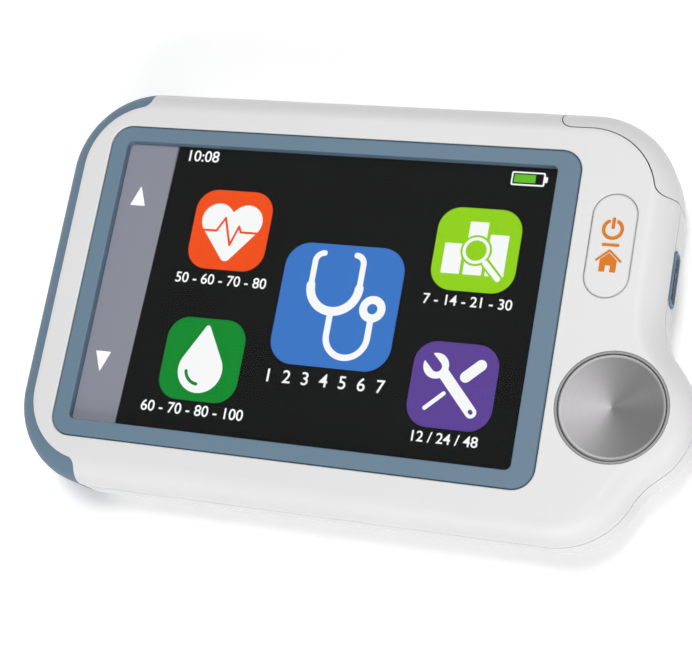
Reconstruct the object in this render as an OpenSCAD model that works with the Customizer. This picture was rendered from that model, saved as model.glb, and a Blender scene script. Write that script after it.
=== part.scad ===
// Pocket home monitor for heart rhythm and blood oxygen.
// It lies on its back: Z = 0 is the back face, the screen looks along +Z, +Y is the top edge of
// the screen and the origin is the middle of the back. All lengths are in millimetres.

/* [Casing] */
// Overall length, from the left end to the thumb bump
body_l = 91.4; // [90:0.2:93]
// Overall width
body_w = 56.3; // [55.8:0.1:58]
// Overall thickness
body_t = 13; // [12.8:0.1:14]
// How far the thumb bump stands out past the straight right side
bump_out = 5.5; // [4.9:0.1:5.7]
// Outline radius of the two left corners and of the top right corner
corner_r = 12; // [11.5:0.1:12.5]
// Outline radius of the bottom right corner
foot_r = 10.7; // [10:0.1:11.2]
// Distance of the bottom right corner's centre from the tip of the bump
foot_in = 16.1; // [15.7:0.1:16.7]
// Outline radius of the bump round the thumb electrode
bump_r = 9.7; // [9.5:0.1:9.9]
// Distance of the thumb bump's middle from the bottom edge
bump_up = 17.5; // [17.15:0.05:18.15]
// Outline radius of the hollow above the bump
upper_neck_r = 9.25; // [8.5:0.25:10]
// Outline radius of the hollow below the bump
lower_neck_r = 10; // [9:0.5:11]
// Rounding of the front edge
front_r = 3.4; // [3:0.1:3.6]
// Rounding of the back edge
back_r = 5; // [4.6:0.1:5.2]
// Height of the joint between the front and rear shells
parting_z = 8.8; // [8.7:0.1:9]
// Depth and height of the shadow groove along that joint
groove = 0.15; // [0.1:0.05:0.2]
// Side wall of the shells
wall = 1.6; // [1.4:0.1:1.7]
// Thickness of the front shell's face
roof_t = 1.5; // [1.3:0.1:1.7]
// Thickness of the rear shell's floor
floor_t = 1.5; // [1.3:0.1:1.7]
// Gap round each piece that is set into a shell
fit = 0.1; // [0.08:0.01:0.14]
// Play round each piece that is set into another one inside
play = 0.05; // [0.03:0.01:0.08]

/* [Left band] */
// Thickness of the coloured band round the left end
band_t = 2.7; // [2.5:0.1:2.9]
// How far the band reaches along the top and bottom edges from the left end
band_reach = 10.8; // [10.5:0.1:11.1]
// Radius of the band's inner corner at each end
band_tip_r = 1.2; // [1:0.1:1.4]
// Length of the electrode strip in the band
strip_l = 24; // [20:1:28]
// Height of the electrode strip
strip_h = 3.2; // [2.8:0.1:3.4]
// Thickness of the electrode strip
strip_t = 0.6; // [0.4:0.1:0.8]

/* [Screen] */
// Width of the case's border left of the coloured bezel
border_left = 6.3; // [6:0.05:6.5]
// Width of that border between the bezel and the straight right side
border_right = 12.5; // [12.3:0.05:12.8]
// Width of that border above and below the bezel
border_y = 5.95; // [5.75:0.05:6.15]
// Outer corner radius of the bezel
bezel_r = 2.8; // [2:0.2:4]
// Depth of the bezel below the casing's face
bezel_sink = 0.05; // [0.03:0.01:0.1]
// Width of the rim that holds the bezel under the front shell
bezel_rim = 0.55; // [0.4:0.05:0.6]
// Bezel width left of the lens
frame_left = 2.4; // [2.2:0.1:2.6]
// Bezel width right of the lens
frame_right = 3.05; // [2.9:0.05:3.3]
// Bezel width above the lens
frame_top = 2.1; // [2:0.1:2.3]
// Bezel width below the lens
frame_bottom = 2.3; // [2.2:0.1:2.5]
// Corner radius of the lens
lens_r = 0.8; // [0.4:0.1:1.2]
// Thickness of the touch lens
lens_t = 0.8; // [0.7:0.05:0.9]
// Depth of the lens below the bezel
lens_sink = 0.3; // [0.2:0.05:0.4]
// Width of the bezel's ledge under the lens
ledge_w = 0.7; // [0.5:0.05:0.8]
// Thickness of that ledge
ledge_t = 0.75; // [0.6:0.05:0.8]
// Width of the printed scroll strip at the left of the lens
strip_w = 7.5; // [7:0.1:8]
// Thickness of the printed film that is the scroll strip
film_t = 0.1; // [0.08:0.01:0.12]
// Thickness of the ink of the two scroll arrows and of the key's symbols
ink_t = 0.05; // [0.03:0.01:0.06]
// Distance of each scroll arrow from the middle of the lens
arrow_y = 11.9; // [10:0.1:13]
// Width of a scroll arrow
arrow_w = 2.2; // [1.8:0.1:2.6]
// Height of a scroll arrow
arrow_h = 2.7; // [2.2:0.1:3]
// Width of the gasket between the bezel's ledge and the display
seal_w = 0.9; // [0.7:0.1:1]
// Thickness of the display glass behind the bezel's ledge
glass_t = 1.4; // [1.2:0.1:1.5]
// How far the display glass reaches past the lens
glass_lap = 1; // [0.8:0.1:1.2]
// Thickness of the backlight tray
tray_t = 1.2; // [1:0.1:1.3]
// How far the tray reaches past the glass
tray_lap = 0.4; // [0.3:0.1:0.5]
// Thickness of the sheet metal that holds the display
holder_t = 0.4; // [0.3:0.05:0.5]
// Width of that sheet's bars
holder_w = 5; // [4:0.5:7]

/* [Home key] */
// Distance of the home key's middle from the straight right side
key_in = 7.3; // [7.1:0.1:7.5]
// Distance of the home key's middle from the top edge
key_down = 18.2; // [18.05:0.05:18.35]
// Width of the key
key_w = 5.6; // [5.2:0.1:5.8]
// Length of the key
key_l = 13.6; // [13:0.1:13.8]
// Depth of the key's top below the casing's face
key_sink = 0.06; // [0.06:0.01:0.1]
// How far the key is pressed
key_travel = 0.4; // [0.3:0.05:0.5]
// Width of the rim that keeps the key in
key_rim = 0.6; // [0.5:0.05:0.7]
// Thickness of that rim
key_rim_t = 0.8; // [0.6:0.05:0.9]
// Gap between that rim and the front shell's face
key_lift = 0.15; // [0.1:0.05:0.2]
// Distance of the switch from the key's middle, towards the screen
switch_shift = 0.9; // [0.8:0.05:1]
// Side of the switch's square body
switch_w = 4; // [3.6:0.1:4.2]
// Height of the switch's body
switch_h = 1.6; // [1.5:0.1:1.7]
// Diameter of the switch's plunger
plunger_d = 1.9; // [1.6:0.1:2.1]
// Thickness of the switch's base under the plunger
switch_base = 0.5; // [0.4:0.05:0.6]
// Diameter of the key's stem
stem_d = 2.6; // [2.3:0.1:2.8]
// Outer diameter of the power sign's ring
power_d = 2.7; // [2.4:0.1:3]
// Line width of the power sign
sign_w = 0.42; // [0.3:0.02:0.5]
// Distance of the power sign and the house from the key's middle
sign_y = 2.1; // [2:0.1:2.4]
// Length of the bar between them
bar_l = 2.2; // [1.8:0.1:2.6]
// Width of the house's roof
house_w = 3.1; // [2.8:0.1:3.4]
// Width of the house's walls
house_wall_w = 2.2; // [2:0.1:2.4]
// Height of the house
house_h = 2.9; // [2.6:0.1:3]
// Width of the house's door
door_w = 0.7; // [0.5:0.05:0.8]
// Height of the house's door
door_h = 0.9; // [0.7:0.1:1.1]

/* [Thumb electrode] */
// Diameter of the thumb electrode
thumb_d = 13.5; // [13:0.1:13.8]
// Thickness of its rim
thumb_t = 1.4; // [1.2:0.1:1.5]
// How far it stands above the casing's face
thumb_rise = 0; // [0:0.01:0.02]
// Depth of the dish in its top
dish = 0.22; // [0.1:0.02:0.3]
// Width of the flat land round the dish
land_w = 0.6; // [0.4:0.05:0.8]
// Rounding of the electrode's top edge
thumb_edge_r = 0.25; // [0.1:0.05:0.3]
// Width of the dark gasket round it
gasket_w = 0.3; // [0.25:0.05:0.4]
// Width of the ledge that carries it
thumb_ledge = 2.2; // [1.8:0.1:2.4]
// Thickness of that ledge
thumb_ledge_t = 1; // [0.8:0.1:1.1]
// Diameter of each spring contact
contact_d = 1.6; // [1.4:0.1:1.8]
// Diameter of each contact's collar on the board
collar_d = 2.6; // [2.2:0.1:3]
// Height of that collar
collar_h = 1.2; // [0.8:0.1:1.4]

/* [Back] */
// Length of the rear electrode along X
rear_l = 13; // [12:0.5:13.5]
// Width of the rear electrode along Y
rear_w = 15; // [14:0.5:16]
// Distance of the rear electrode's middle from the straight right side
rear_in = 18.2; // [17.7:0.1:18.7]
// Y of the rear electrode's middle
rear_y = 2; // [1.5:0.1:2.5]
// Thickness of the rear electrode
rear_t = 0.7; // [0.6:0.05:0.8]
// Depth of the rear electrode below the back face
rear_sink = 0.1; // [0.05:0.01:0.15]
// Corner radius of the rear electrode
rear_r = 2.5; // [2:0.1:3]
// Width of the floor's ledge that carries the rear electrode
rear_ledge = 1.5; // [1.2:0.1:1.8]
// Diameter of the stud behind the rear electrode
stud_d = 4; // [3:0.2:5]
// Height of that stud
stud_h = 0.8; // [0.6:0.1:1]
// Length of each speaker slot
slot_l = 5; // [4:0.2:6]
// Width of each speaker slot
slot_w = 0.9; // [0.7:0.05:1]
// Distance between speaker slots
slot_pitch = 1.8; // [1.6:0.1:2]
// Number of speaker slots
slot_count = 3; // [1:1:3]
// Distance of the strap eye's middle from the left end
eye_in = 18.7; // [17.7:0.5:19.7]
// Length of the strap eye along X
eye_l = 5; // [4.6:0.1:5.4]
// Depth of the strap eye from the top edge
eye_depth = 4; // [3.8:0.1:4.2]
// Wall round the strap eye
eye_wall = 1.1; // [1:0.1:1.3]
// Height of the strap eye from the back face
eye_h = 4.2; // [4:0.1:4.4]
// Diameter of the steel bar in the strap eye
eye_bar_d = 1.2; // [1:0.1:1.3]
// Distance of that bar's axis from the top edge
eye_bar_in = 2; // [1.9:0.1:2.2]
// Height of that bar's axis from the back face
eye_bar_z = 2.6; // [2.5:0.1:2.8]
// How far the bar's ends run into the wall
eye_bar_seat = 1.2; // [1:0.1:1.3]

/* [Finger clip] */
// Thickness of the clip's curved cover
clip_t = 2.6; // [2.5:0.05:2.7]
// How far the cover reaches along the top edge from the straight right side
clip_reach = 16.1; // [15.9:0.1:16.3]
// How far the cover reaches down the right side from the top edge
clip_drop = 11.1; // [10.95:0.05:11.25]
// Corner radius of the cover's right end
clip_tip_r = 1.9; // [1.7:0.1:2]
// Radius of the cover's rounded hinge end
barrel_r = 1.45; // [1.35:0.05:1.5]
// Wall of the shells behind the cover and behind the band
inner_wall = 1.3; // [1.2:0.05:1.4]
// Diameter of the hinge pin
pin_d = 1.2; // [1:0.05:1.25]
// Height of the pin's lower end from the back face
pin_z = 2.2; // [1.6:0.1:2.6]
// Height of the pin's upper end from the back face
pin_top = 11.2; // [10.6:0.1:11.4]
// Height of the fixed knuckle round the pin
knuckle_h = 3; // [2.6:0.1:3.2]
// Height of the closing spring on the pin
spring_h = 1.3; // [1.1:0.1:1.5]
// Wire diameter of the closing spring
spring_wire = 0.3; // [0.25:0.05:0.35]
// Gap between the closing spring and the pin
spring_gap = 0.1; // [0.06:0.02:0.14]
// Thickness of the finger pads
pad_t = 0.8; // [0.7:0.05:0.9]
// Height of the finger pads
pad_h = 7; // [6:0.2:7.4]
// Start of the finger pads as an angle at the corner's centre
pad_from_deg = 24; // [22:1:28]
// End of the finger pads as an angle at the corner's centre
pad_to_deg = 64; // [60:1:66]
// Diameter of the light windows in the pads
window_d = 2.4; // [2:0.1:2.8]
// Width of the sensor's circuit board
sensor_w = 3.6; // [3:0.1:3.8]
// Height of the sensor's circuit board
sensor_h = 6; // [5:0.2:6.4]
// Thickness of the sensor's circuit board
sensor_t = 0.8; // [0.6:0.1:0.8]

/* [Inside] */
// Distance of the case screws from the long edges
screw_in = 3.55; // [3.5:0.05:3.6]
// Distance of the two left case screws from the left end
screw_left_in = 25.7; // [24.7:0.5:27.7]
// Distance of the two right case screws from the straight right side
screw_right_in = 26.2; // [25.2:0.5:28.2]
// Diameter of a screw's head
head_d = 2.8; // [2.6:0.1:2.8]
// Height of a screw's head
head_h = 1.2; // [1:0.1:1.3]
// Diameter of a screw's shank
shank_d = 1.3; // [1.2:0.1:1.4]
// Outer diameter of the front shell's screw posts
post_d = 3.1; // [2.9:0.1:3.2]
// Outer diameter of the rear shell's screw posts
rear_post_d = 4.2; // [4:0.1:4.4]
// Thickness of a rear post over the screw's head
seat_t = 1.8; // [1.6:0.1:1.9]
// Overall length of a screw
screw_l = 7.6; // [7:0.1:8]
// Width of the cross cut in a screw's head
cross_w = 0.4; // [0.3:0.05:0.5]
// Length of that cross
cross_l = 1.6; // [1.3:0.1:1.8]
// Depth of that cross
cross_t = 0.5; // [0.3:0.05:0.6]
// Height at which the front and rear screw posts meet
post_z = 4; // [3.9:0.1:4.2]
// Thickness of the foam tape under the battery
tape_t = 0.4; // [0.3:0.05:0.5]
// Distance of the tape's edges from the battery's
tape_in = 2; // [1:0.5:4]
// Distance of the battery from the left end
battery_left_in = 14.7; // [13.7:0.5:16.7]
// Distance of the battery from the straight right side
battery_right_in = 29.2; // [28.7:0.5:31.2]
// Distance of the battery from the top and bottom edges
battery_y_in = 11.15; // [10.15:0.5:13.15]
// Thickness of the battery
battery_t = 3.4; // [3.2:0.1:3.5]
// Room left over the battery for swelling
battery_room = 0.2; // [0.15:0.05:0.25]
// Thickness of the main circuit board
board_t = 1; // [0.8:0.1:1]
// Distance of the main board from the left end
board_left_in = 7.7; // [6.7:0.5:8.7]
// Distance from the straight right side at which the main board becomes narrower
board_step_in = 13.2; // [13:0.1:13.7]
// Gap between the main board's right edge and the side wall
board_gap = 0.7; // [0.6:0.05:0.8]
// Distance of the main board from the top and bottom edges
board_y_in = 6.15; // [5.85:0.1:6.65]
// Distance of the board's narrower end from the bottom edge
tab_low_in = 10.15; // [9.65:0.5:11.15]
// Distance of the board's narrower end from the top edge
tab_high_in = 14.15; // [13.95:0.1:14.65]
// Gap between the board and the port's socket
notch_gap = 0.2; // [0.1:0.05:0.3]
// Diameter of the pillars that carry the main board
pillar_d = 3; // [2.6:0.1:3.2]
// Distance of the pillars from the board's long edges and left edge
pillar_in = 3; // [2.8:0.1:3.2]
// Distance of the right pillars from the step in the board
pillar_step_in = 7.5; // [7.1:0.1:8]
// Length of the shield over the radio and processor
shield_l = 22; // [18:1:26]
// Width of that shield
shield_w = 18; // [14:1:22]
// Distance of that shield's middle from the step in the board
shield_in = 27; // [25:0.5:29]
// Gap between that shield and the display holder
shield_gap = 0.1; // [0.08:0.02:0.2]
// Diameter of the speaker
speaker_d = 10; // [9:0.2:10.4]
// Thickness of the speaker
speaker_t = 2.6; // [2.2:0.1:2.8]
// Distance of the speaker's middle from the straight right side
speaker_in = 6.2; // [5.7:0.1:6.7]
// Distance of the speaker's middle from the bottom edge
speaker_up = 15.65; // [15.15:0.1:16.15]
// Thickness of the speaker's foam ring
foam_t = 0.4; // [0.3:0.05:0.5]
// Width of that foam ring and of the speaker's rim
foam_w = 1.2; // [1:0.1:1.6]
// Depth of the speaker's cone
cone_depth = 0.8; // [0.6:0.1:1]
// Width of the flat cable from the display
cable_w = 12; // [8:1:16]
// Thickness of the flat cable
cable_t = 0.2; // [0.15:0.05:0.25]
// Distance from the display glass at which the cable turns down
cable_flap = 1.6; // [1.2:0.1:2]
// Length of the cable's foot on the main board
cable_foot = 6; // [4:0.5:8]

/* [Port] */
// Distance of the port's middle from the top edge
port_down = 20.25; // [20.15:0.05:20.35]
// Height of the port's middle
port_z = 6.85; // [6.8:0.05:6.9]
// Outer length of the coloured surround
surround_l = 7.2; // [7:0.1:7.4]
// Outer height of the coloured surround
surround_h = 3.4; // [3.3:0.05:3.5]
// Outer corner radius of the surround
surround_r = 1; // [0.6:0.1:1.2]
// How far the surround stands out of the side
surround_rise = 0.25; // [0.15:0.05:0.3]
// Outer length of the metal socket
socket_l = 6; // [5.8:0.1:6.2]
// Outer height of the metal socket
socket_h = 2.4; // [2.3:0.05:2.5]
// Outer corner radius of the metal socket
socket_r = 0.5; // [0.35:0.05:0.6]
// Sheet thickness of the metal socket
socket_wall = 0.25; // [0.2:0.05:0.3]
// Depth of the metal socket
socket_d = 4.9; // [4.4:0.1:5]
// Width of the contact tongue in the socket
tongue_w = 4; // [3.6:0.1:4.4]
// Thickness of that tongue
tongue_t = 0.7; // [0.5:0.05:0.8]
// Depth of the tongue's tip behind the socket's mouth
tongue_in = 0.6; // [0.4:0.1:1]

/* [Hidden] */
$fn = 64;

// Angle of one facet of the casing's rounded outline
facet_deg = 6;
// A quarter turn
quarter_deg = 90;
// Facets across a rounded edge
edge_facets = 6;
// Length by which a cutting shape runs past what it cuts
over = 2;
// How far a post, rib or web runs into the wall that carries it
root = 0.4;
// How far two shapes of one plan run into each other
merge = 1;
white = "#e2e2e2";
slate = "#71889a";
steel = "#b4b6b8";
rubber = "#3a3c40";
orange = "#dc8229";

// Places on the outline
top_y = body_w/2;
left_x = -body_l/2;
side_x = body_l/2 - bump_out;
bump_y = bump_up - top_y;
bump_x = body_l/2 - bump_r;
corner = [side_x - corner_r, top_y - corner_r];
left_corner = [left_x + corner_r, top_y - corner_r];
foot = [body_l/2 - foot_in, foot_r - top_y];
bump = [bump_x, bump_y];
upper_neck_x = side_x + upper_neck_r;
upper_neck_y = bump_y + sqrt(pow(bump_r + upper_neck_r, 2) - pow(upper_neck_x - bump_x, 2));
lower_neck = touching_centre(foot, foot_r + lower_neck_r, bump, bump_r + lower_neck_r);

// Outline: [x, y, radius, first] of each arc, anticlockwise. A negative radius curves inwards, and
// first is 1 where the arc starts at the last point of the one before, which is then listed once
ARCS = [
  [corner.x, corner.y, corner_r, 0],
  [left_corner.x, left_corner.y, corner_r, 0],
  [left_corner.x, -left_corner.y, corner_r, 0],
  [foot.x, foot.y, foot_r, 0],
  [lower_neck.x, lower_neck.y, -lower_neck_r, 1],
  [bump.x, bump.y, bump_r, 1],
  [upper_neck_x, upper_neck_y, -upper_neck_r, 1]
];

// Heights from the screen down
roof_z = body_t - roof_t;
bezel_top = body_t - bezel_sink;
lens_top = bezel_top - lens_sink;
lens_z = lens_top - lens_t;
film_top = lens_z - ink_t;
ledge_z = film_top - film_t;
bezel_z = ledge_z - ledge_t;
glass_z = bezel_z - glass_t;
tray_z = glass_z - tray_t;
holder_z = tray_z - holder_t;

// Heights from the back up
tape_z = floor_t;
battery_z = tape_z + tape_t;
board_z = battery_z + battery_t + battery_room;
board_top = board_z + board_t;

// Bezel
bezel_l = side_x - border_right - left_x - border_left;
bezel_w = body_w - 2*border_y;
bezel_x = left_x + border_left + bezel_l/2;

// Lens opening in the bezel and the black area of the display
lens_x0 = bezel_x - bezel_l/2 + frame_left;
lens_x1 = bezel_x + bezel_l/2 - frame_right;
lens_y0 = frame_bottom - bezel_w/2;
lens_y1 = bezel_w/2 - frame_top;
black_x0 = lens_x0 + strip_w;

// Face of the display inside its gasket
face_x0 = black_x0 + seal_w;
face_x1 = lens_x1 - ledge_w - seal_w;
face_y0 = lens_y0 + ledge_w + seal_w;
face_y1 = lens_y1 - ledge_w - seal_w;

// Finger clip and its hinge
clip_start_x = side_x - clip_reach;
clip_end_y = top_y - clip_drop;
hinge = [clip_start_x + barrel_r, top_y - clip_t + barrel_r];
clip_r = corner_r - clip_t;
clip_tip_a = asin((clip_end_y + clip_tip_r - corner.y)/(clip_r + clip_tip_r));
clip_tip = corner + (clip_r + clip_tip_r)*[cos(clip_tip_a), sin(clip_tip_a)];
knuckle_top = parting_z - groove - play;
knuckle_z = knuckle_top - knuckle_h;
spring_z = knuckle_z - play - spring_h;
spring_r = pin_d/2 + spring_gap + spring_wire;
spring_leg = sqrt(pow(barrel_r + fit, 2) - pow(spring_r, 2)) - play;
knuckle_r = clip_t - barrel_r - play;
hinge_cut = barrel_r + play;
pad_z = body_t/2 - pad_h/2;
pad_mid = (pad_from_deg + pad_to_deg)/2;
// Angle by which each pad's pocket is longer than the pad at each end
slack_deg = 0.5;
// Outer face of the sensor's board, whose edges stay clear of the curved wall
sensor_r = sqrt(pow(clip_r - fit - inner_wall - play, 2) - pow(sensor_w/2, 2));

// Ends of the left band
band_r = corner_r - band_t;
band_end_x = left_x + band_reach;
band_tip_x = band_end_x - band_tip_r;
band_tip_y = left_corner.y + sqrt(pow(band_r + band_tip_r, 2) - pow(band_tip_x - left_corner.x, 2));

// Key, switch and thumb electrode
key_x = side_x - key_in;
key_y = top_y - key_down;
switch_x = key_x - switch_shift;
key_top = body_t - key_sink;
key_rim_z = roof_z - key_lift - key_rim_t;
plunger_top = board_top + switch_h + key_travel + play;
thumb_top = body_t + thumb_rise;
thumb_z = thumb_top - thumb_t;
thumb_hole_d = thumb_d + 2*gasket_w;

// Main board, battery, pillars and screws
board_left_x = left_x + board_left_in;
board_step_x = side_x - board_step_in;
board_right_x = side_x - wall - board_gap;
board_half_w = top_y - board_y_in;
tab_low_y = tab_low_in - top_y;
tab_high_y = top_y - tab_high_in;
battery_l = side_x - battery_right_in - left_x - battery_left_in;
battery_w = body_w - 2*battery_y_in;
battery_x = left_x + battery_left_in + battery_l/2;
screw_y = top_y - screw_in;
head_z = post_z - seat_t - head_h;
SCREWS = [
  for (x = [left_x + screw_left_in, side_x - screw_right_in])
    for (side = [1, -1])
      [x, side*screw_y]
];
PILLARS = [
  for (x = [board_left_x + pillar_in, board_step_x - pillar_step_in])
    for (side = [1, -1])
      [x, side*(board_half_w - pillar_in)]
];

// Rear electrode, speaker, port and strap eye
rear_x = side_x - rear_in;
speaker_x = side_x - speaker_in;
speaker_y = speaker_up - top_y;
port_y = top_y - port_down;
socket_x = side_x - socket_d;
eye_x = left_x + eye_in;
eye_bar_y = top_y - eye_bar_in;
eye_block_l = eye_l + 2*(eye_bar_seat + root);

// Centre of a circle that touches two others, at distances ra and rb from their centres
function touching_centre(a, ra, b, rb) =
  let (v = b - a, d = norm(v), s = (ra*ra - rb*rb + d*d)/(2*d), h = sqrt(ra*ra - s*s))
  [a.x + (v.x*s + v.y*h)/d, a.y + (v.y*s - v.x*h)/d];

function turn(a) = a - 360*floor(a/360);
function before(i) = (i + len(ARCS) - 1) % len(ARCS);
function after(i) = (i + 1) % len(ARCS);

// Direction of the outward normal where one arc passes into the next
function seam(a, b) =
  atan2(b.y - a.y, b.x - a.x) - acos(max(-1, min(1, (a.z - b.z)/norm([b.x - a.x, b.y - a.y]))));
function arc_from(i) = seam(ARCS[before(i)], ARCS[i]);
function arc_to(i) = seam(ARCS[i], ARCS[after(i)]);
function arc_sweep(i) = ARCS[i].z > 0 ? turn(arc_to(i) - arc_from(i)) : -turn(arc_from(i) - arc_to(i));
function arc_steps(i) = ceil(abs(arc_sweep(i))/facet_deg);

// The casing's outline, moved inwards by inset, as a list of points
function outline(inset) = [
  for (i = [0:len(ARCS) - 1])
    for (k = [ARCS[i][3]:arc_steps(i)])
      let (t = arc_from(i) + arc_sweep(i)*k/arc_steps(i))
        [ARCS[i].x, ARCS[i].y] + (ARCS[i].z - inset)*[cos(t), sin(t)]
];

// [inset, z] of the rings across a rounded front edge (downwards) or back edge (upwards)
function front_rings(inset, top, r) = [
  for (k = [0:edge_facets])
    let (t = quarter_deg*k/edge_facets) [inset + r*(1 - sin(t)), top - r*(1 - cos(t))]
];
function back_rings(inset, bottom, r) = [
  for (k = [0:edge_facets])
    let (t = quarter_deg*k/edge_facets) [inset + r*(1 - cos(t)), bottom + r*(1 - sin(t))]
];

// Closed solid through the outline at each [inset, z], listed from the top down
module loft(rings) {
  n = len(outline(0));
  points = [for (ring = rings) for (p = outline(ring[0])) [p.x, p.y, ring[1]]];
  last = (len(rings) - 1)*n;
  sides = [
    for (j = [0:len(rings) - 2])
      for (i = [0:n - 1])
        let (k = (i + 1) % n)
          each [[j*n + i, j*n + k, (j + 1)*n + k], [j*n + i, (j + 1)*n + k, (j + 1)*n + i]]
  ];
  lid = [[for (i = [n - 1:-1:0]) i]];
  base = [[for (i = [0:n - 1]) last + i]];
  polyhedron(points, concat(lid, sides, base));
}

module whole_casing() {
  loft(concat(front_rings(0, body_t, front_r), back_rings(0, 0, back_r)));
}

// Plan of the finger clip's cover, grown by g on every side but the outer one
module clip_plan(g) {
  reach = corner_r + over;
  translate(corner) difference() {
    intersection() {
      circle(reach);
      polygon([[0, 0], 2*reach*[cos(clip_tip_a), sin(clip_tip_a)], 2*reach*[1, 1], [0, 2*reach]]);
    }
    circle(clip_r - g);
  }
  translate([hinge.x, top_y - clip_t - g]) square([corner.x - hinge.x, clip_t + g + over]);
  translate(hinge) circle(barrel_r + g);
  translate(clip_tip) circle(clip_tip_r + g);
  translate([clip_tip.x, clip_end_y - g]) square([side_x + over - clip_tip.x, clip_tip_r + g + merge]);
}

// Plan of one half of the left band, grown by g on every side but the outer one
module band_half_plan(g) {
  reach = corner_r + over;
  tip = [band_tip_x, band_tip_y] - left_corner;
  translate(left_corner) difference() {
    intersection() {
      circle(reach);
      polygon([[0, 0], 4*reach*tip/norm(tip), [-2*reach, 2*reach], [-2*reach, 0]]);
    }
    circle(band_r - g);
  }
  translate([band_tip_x, band_tip_y]) circle(band_tip_r + g);
  translate([band_tip_x - merge, band_tip_y])
    square([band_tip_r + g + merge, top_y + over - band_tip_y]);
}

module band_plan(g) {
  band_half_plan(g);
  mirror([0, 1]) band_half_plan(g);
  translate([left_x - over, -left_corner.y]) square([band_t + g + over, 2*left_corner.y]);
}

// Prism from z0 to z1 of the plan that it is given
module slab(z0, z1) {
  translate([0, 0, z0]) linear_extrude(z1 - z0) children();
}

// Rectangle with round corners, from its lower left to its upper right point
module round_rect(x0, y0, x1, y1, r) {
  translate([x0 + r, y0]) square([x1 - x0 - 2*r, y1 - y0]);
  translate([x0, y0 + r]) square([x1 - x0, y1 - y0 - 2*r]);
  for (x = [x0 + r, x1 - r])
    for (y = [y0 + r, y1 - r])
      translate([x, y]) circle(r);
}

// Upright stadium
module stadium(w, l) {
  square([w, l - w], center = true);
  for (side = [-1, 1])
    translate([0, side*(l - w)/2]) circle(w/2);
}

// Curved block about the corner's centre, for the finger pads and their pockets
module corner_block(r0, r1, from, to, z0, z1) {
  slab(z0, z1) translate(corner) difference() {
    intersection() {
      circle(r1);
      polygon([[0, 0], 2*r1*[cos(from), sin(from)], 2*r1*[cos(to), sin(to)]]);
    }
    circle(r0);
  }
}

// Round pin that points away from the corner's centre, from radius r0 to r1
module corner_pin(d, r0, r1) {
  translate([corner.x, corner.y, pad_z + pad_h/2]) rotate([0, 0, pad_mid]) rotate([0, 90, 0])
    translate([0, 0, r0]) cylinder(d = d, h = r1 - r0);
}

// Space inside the shells, between z0 and z1
module shell_space(z0, z1) {
  difference() {
    intersection() {
      loft(concat(
        front_rings(wall, roof_z, front_r - wall),
        back_rings(wall, floor_t, back_r - wall)));
      translate([-body_l, -body_w, z0]) cube([2*body_l, 2*body_w, z1 - z0]);
    }
    slab(-over, body_t + over) clip_plan(fit + inner_wall);
    slab(-over, body_t + over) band_plan(fit + inner_wall);
  }
}

// Room in both shells for the finger bed and its window
module bed_pocket() {
  corner_block(
    clip_r - fit - pad_t - play, corner_r + over, pad_from_deg - slack_deg, pad_to_deg + slack_deg,
    pad_z - play, pad_z + pad_h + play);
  corner_pin(window_d + 2*play, clip_r - fit - inner_wall - over, corner_r + over);
}

// Room in both shells for the finger clip and the left band
module end_cuts() {
  slab(-over, body_t + over) clip_plan(fit);
  slab(-over, body_t + over) band_plan(play);
}

module front_shell() {
  color(white) {
    difference() {
      difference() {
        loft(concat(front_rings(0, body_t, front_r), [[0, parting_z]]));
        bed_pocket();
      }
      shell_space(parting_z - over, body_t);
      end_cuts();
      slab(bezel_z - over, body_t + over)
        translate([bezel_x, 0]) round_rect(
          -bezel_l/2 - fit, -bezel_w/2 - fit, bezel_l/2 + fit, bezel_w/2 + fit, bezel_r + fit);
      slab(parting_z, body_t + over) translate([key_x, key_y]) stadium(key_w + 2*fit, key_l + 2*fit);
      translate([bump.x, bump.y, thumb_z]) cylinder(d = thumb_hole_d + 2*play, h = thumb_t + over);
      translate([bump.x, bump.y, parting_z]) cylinder(d = thumb_d - 2*thumb_ledge, h = body_t);
    }
    difference() {
      translate([bump.x, bump.y, thumb_z - thumb_ledge_t])
        cylinder(d = thumb_hole_d + 2*play, h = thumb_ledge_t);
      translate([bump.x, bump.y, parting_z]) cylinder(d = thumb_d - 2*thumb_ledge, h = body_t);
    }
    for (p = SCREWS) {
      difference() {
        translate([p.x, p.y, post_z]) cylinder(d = post_d, h = roof_z + root - post_z);
        translate([p.x, p.y, head_z]) cylinder(d = shank_d + 2*play, h = screw_l + root);
      }
    }
  }
}

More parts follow.
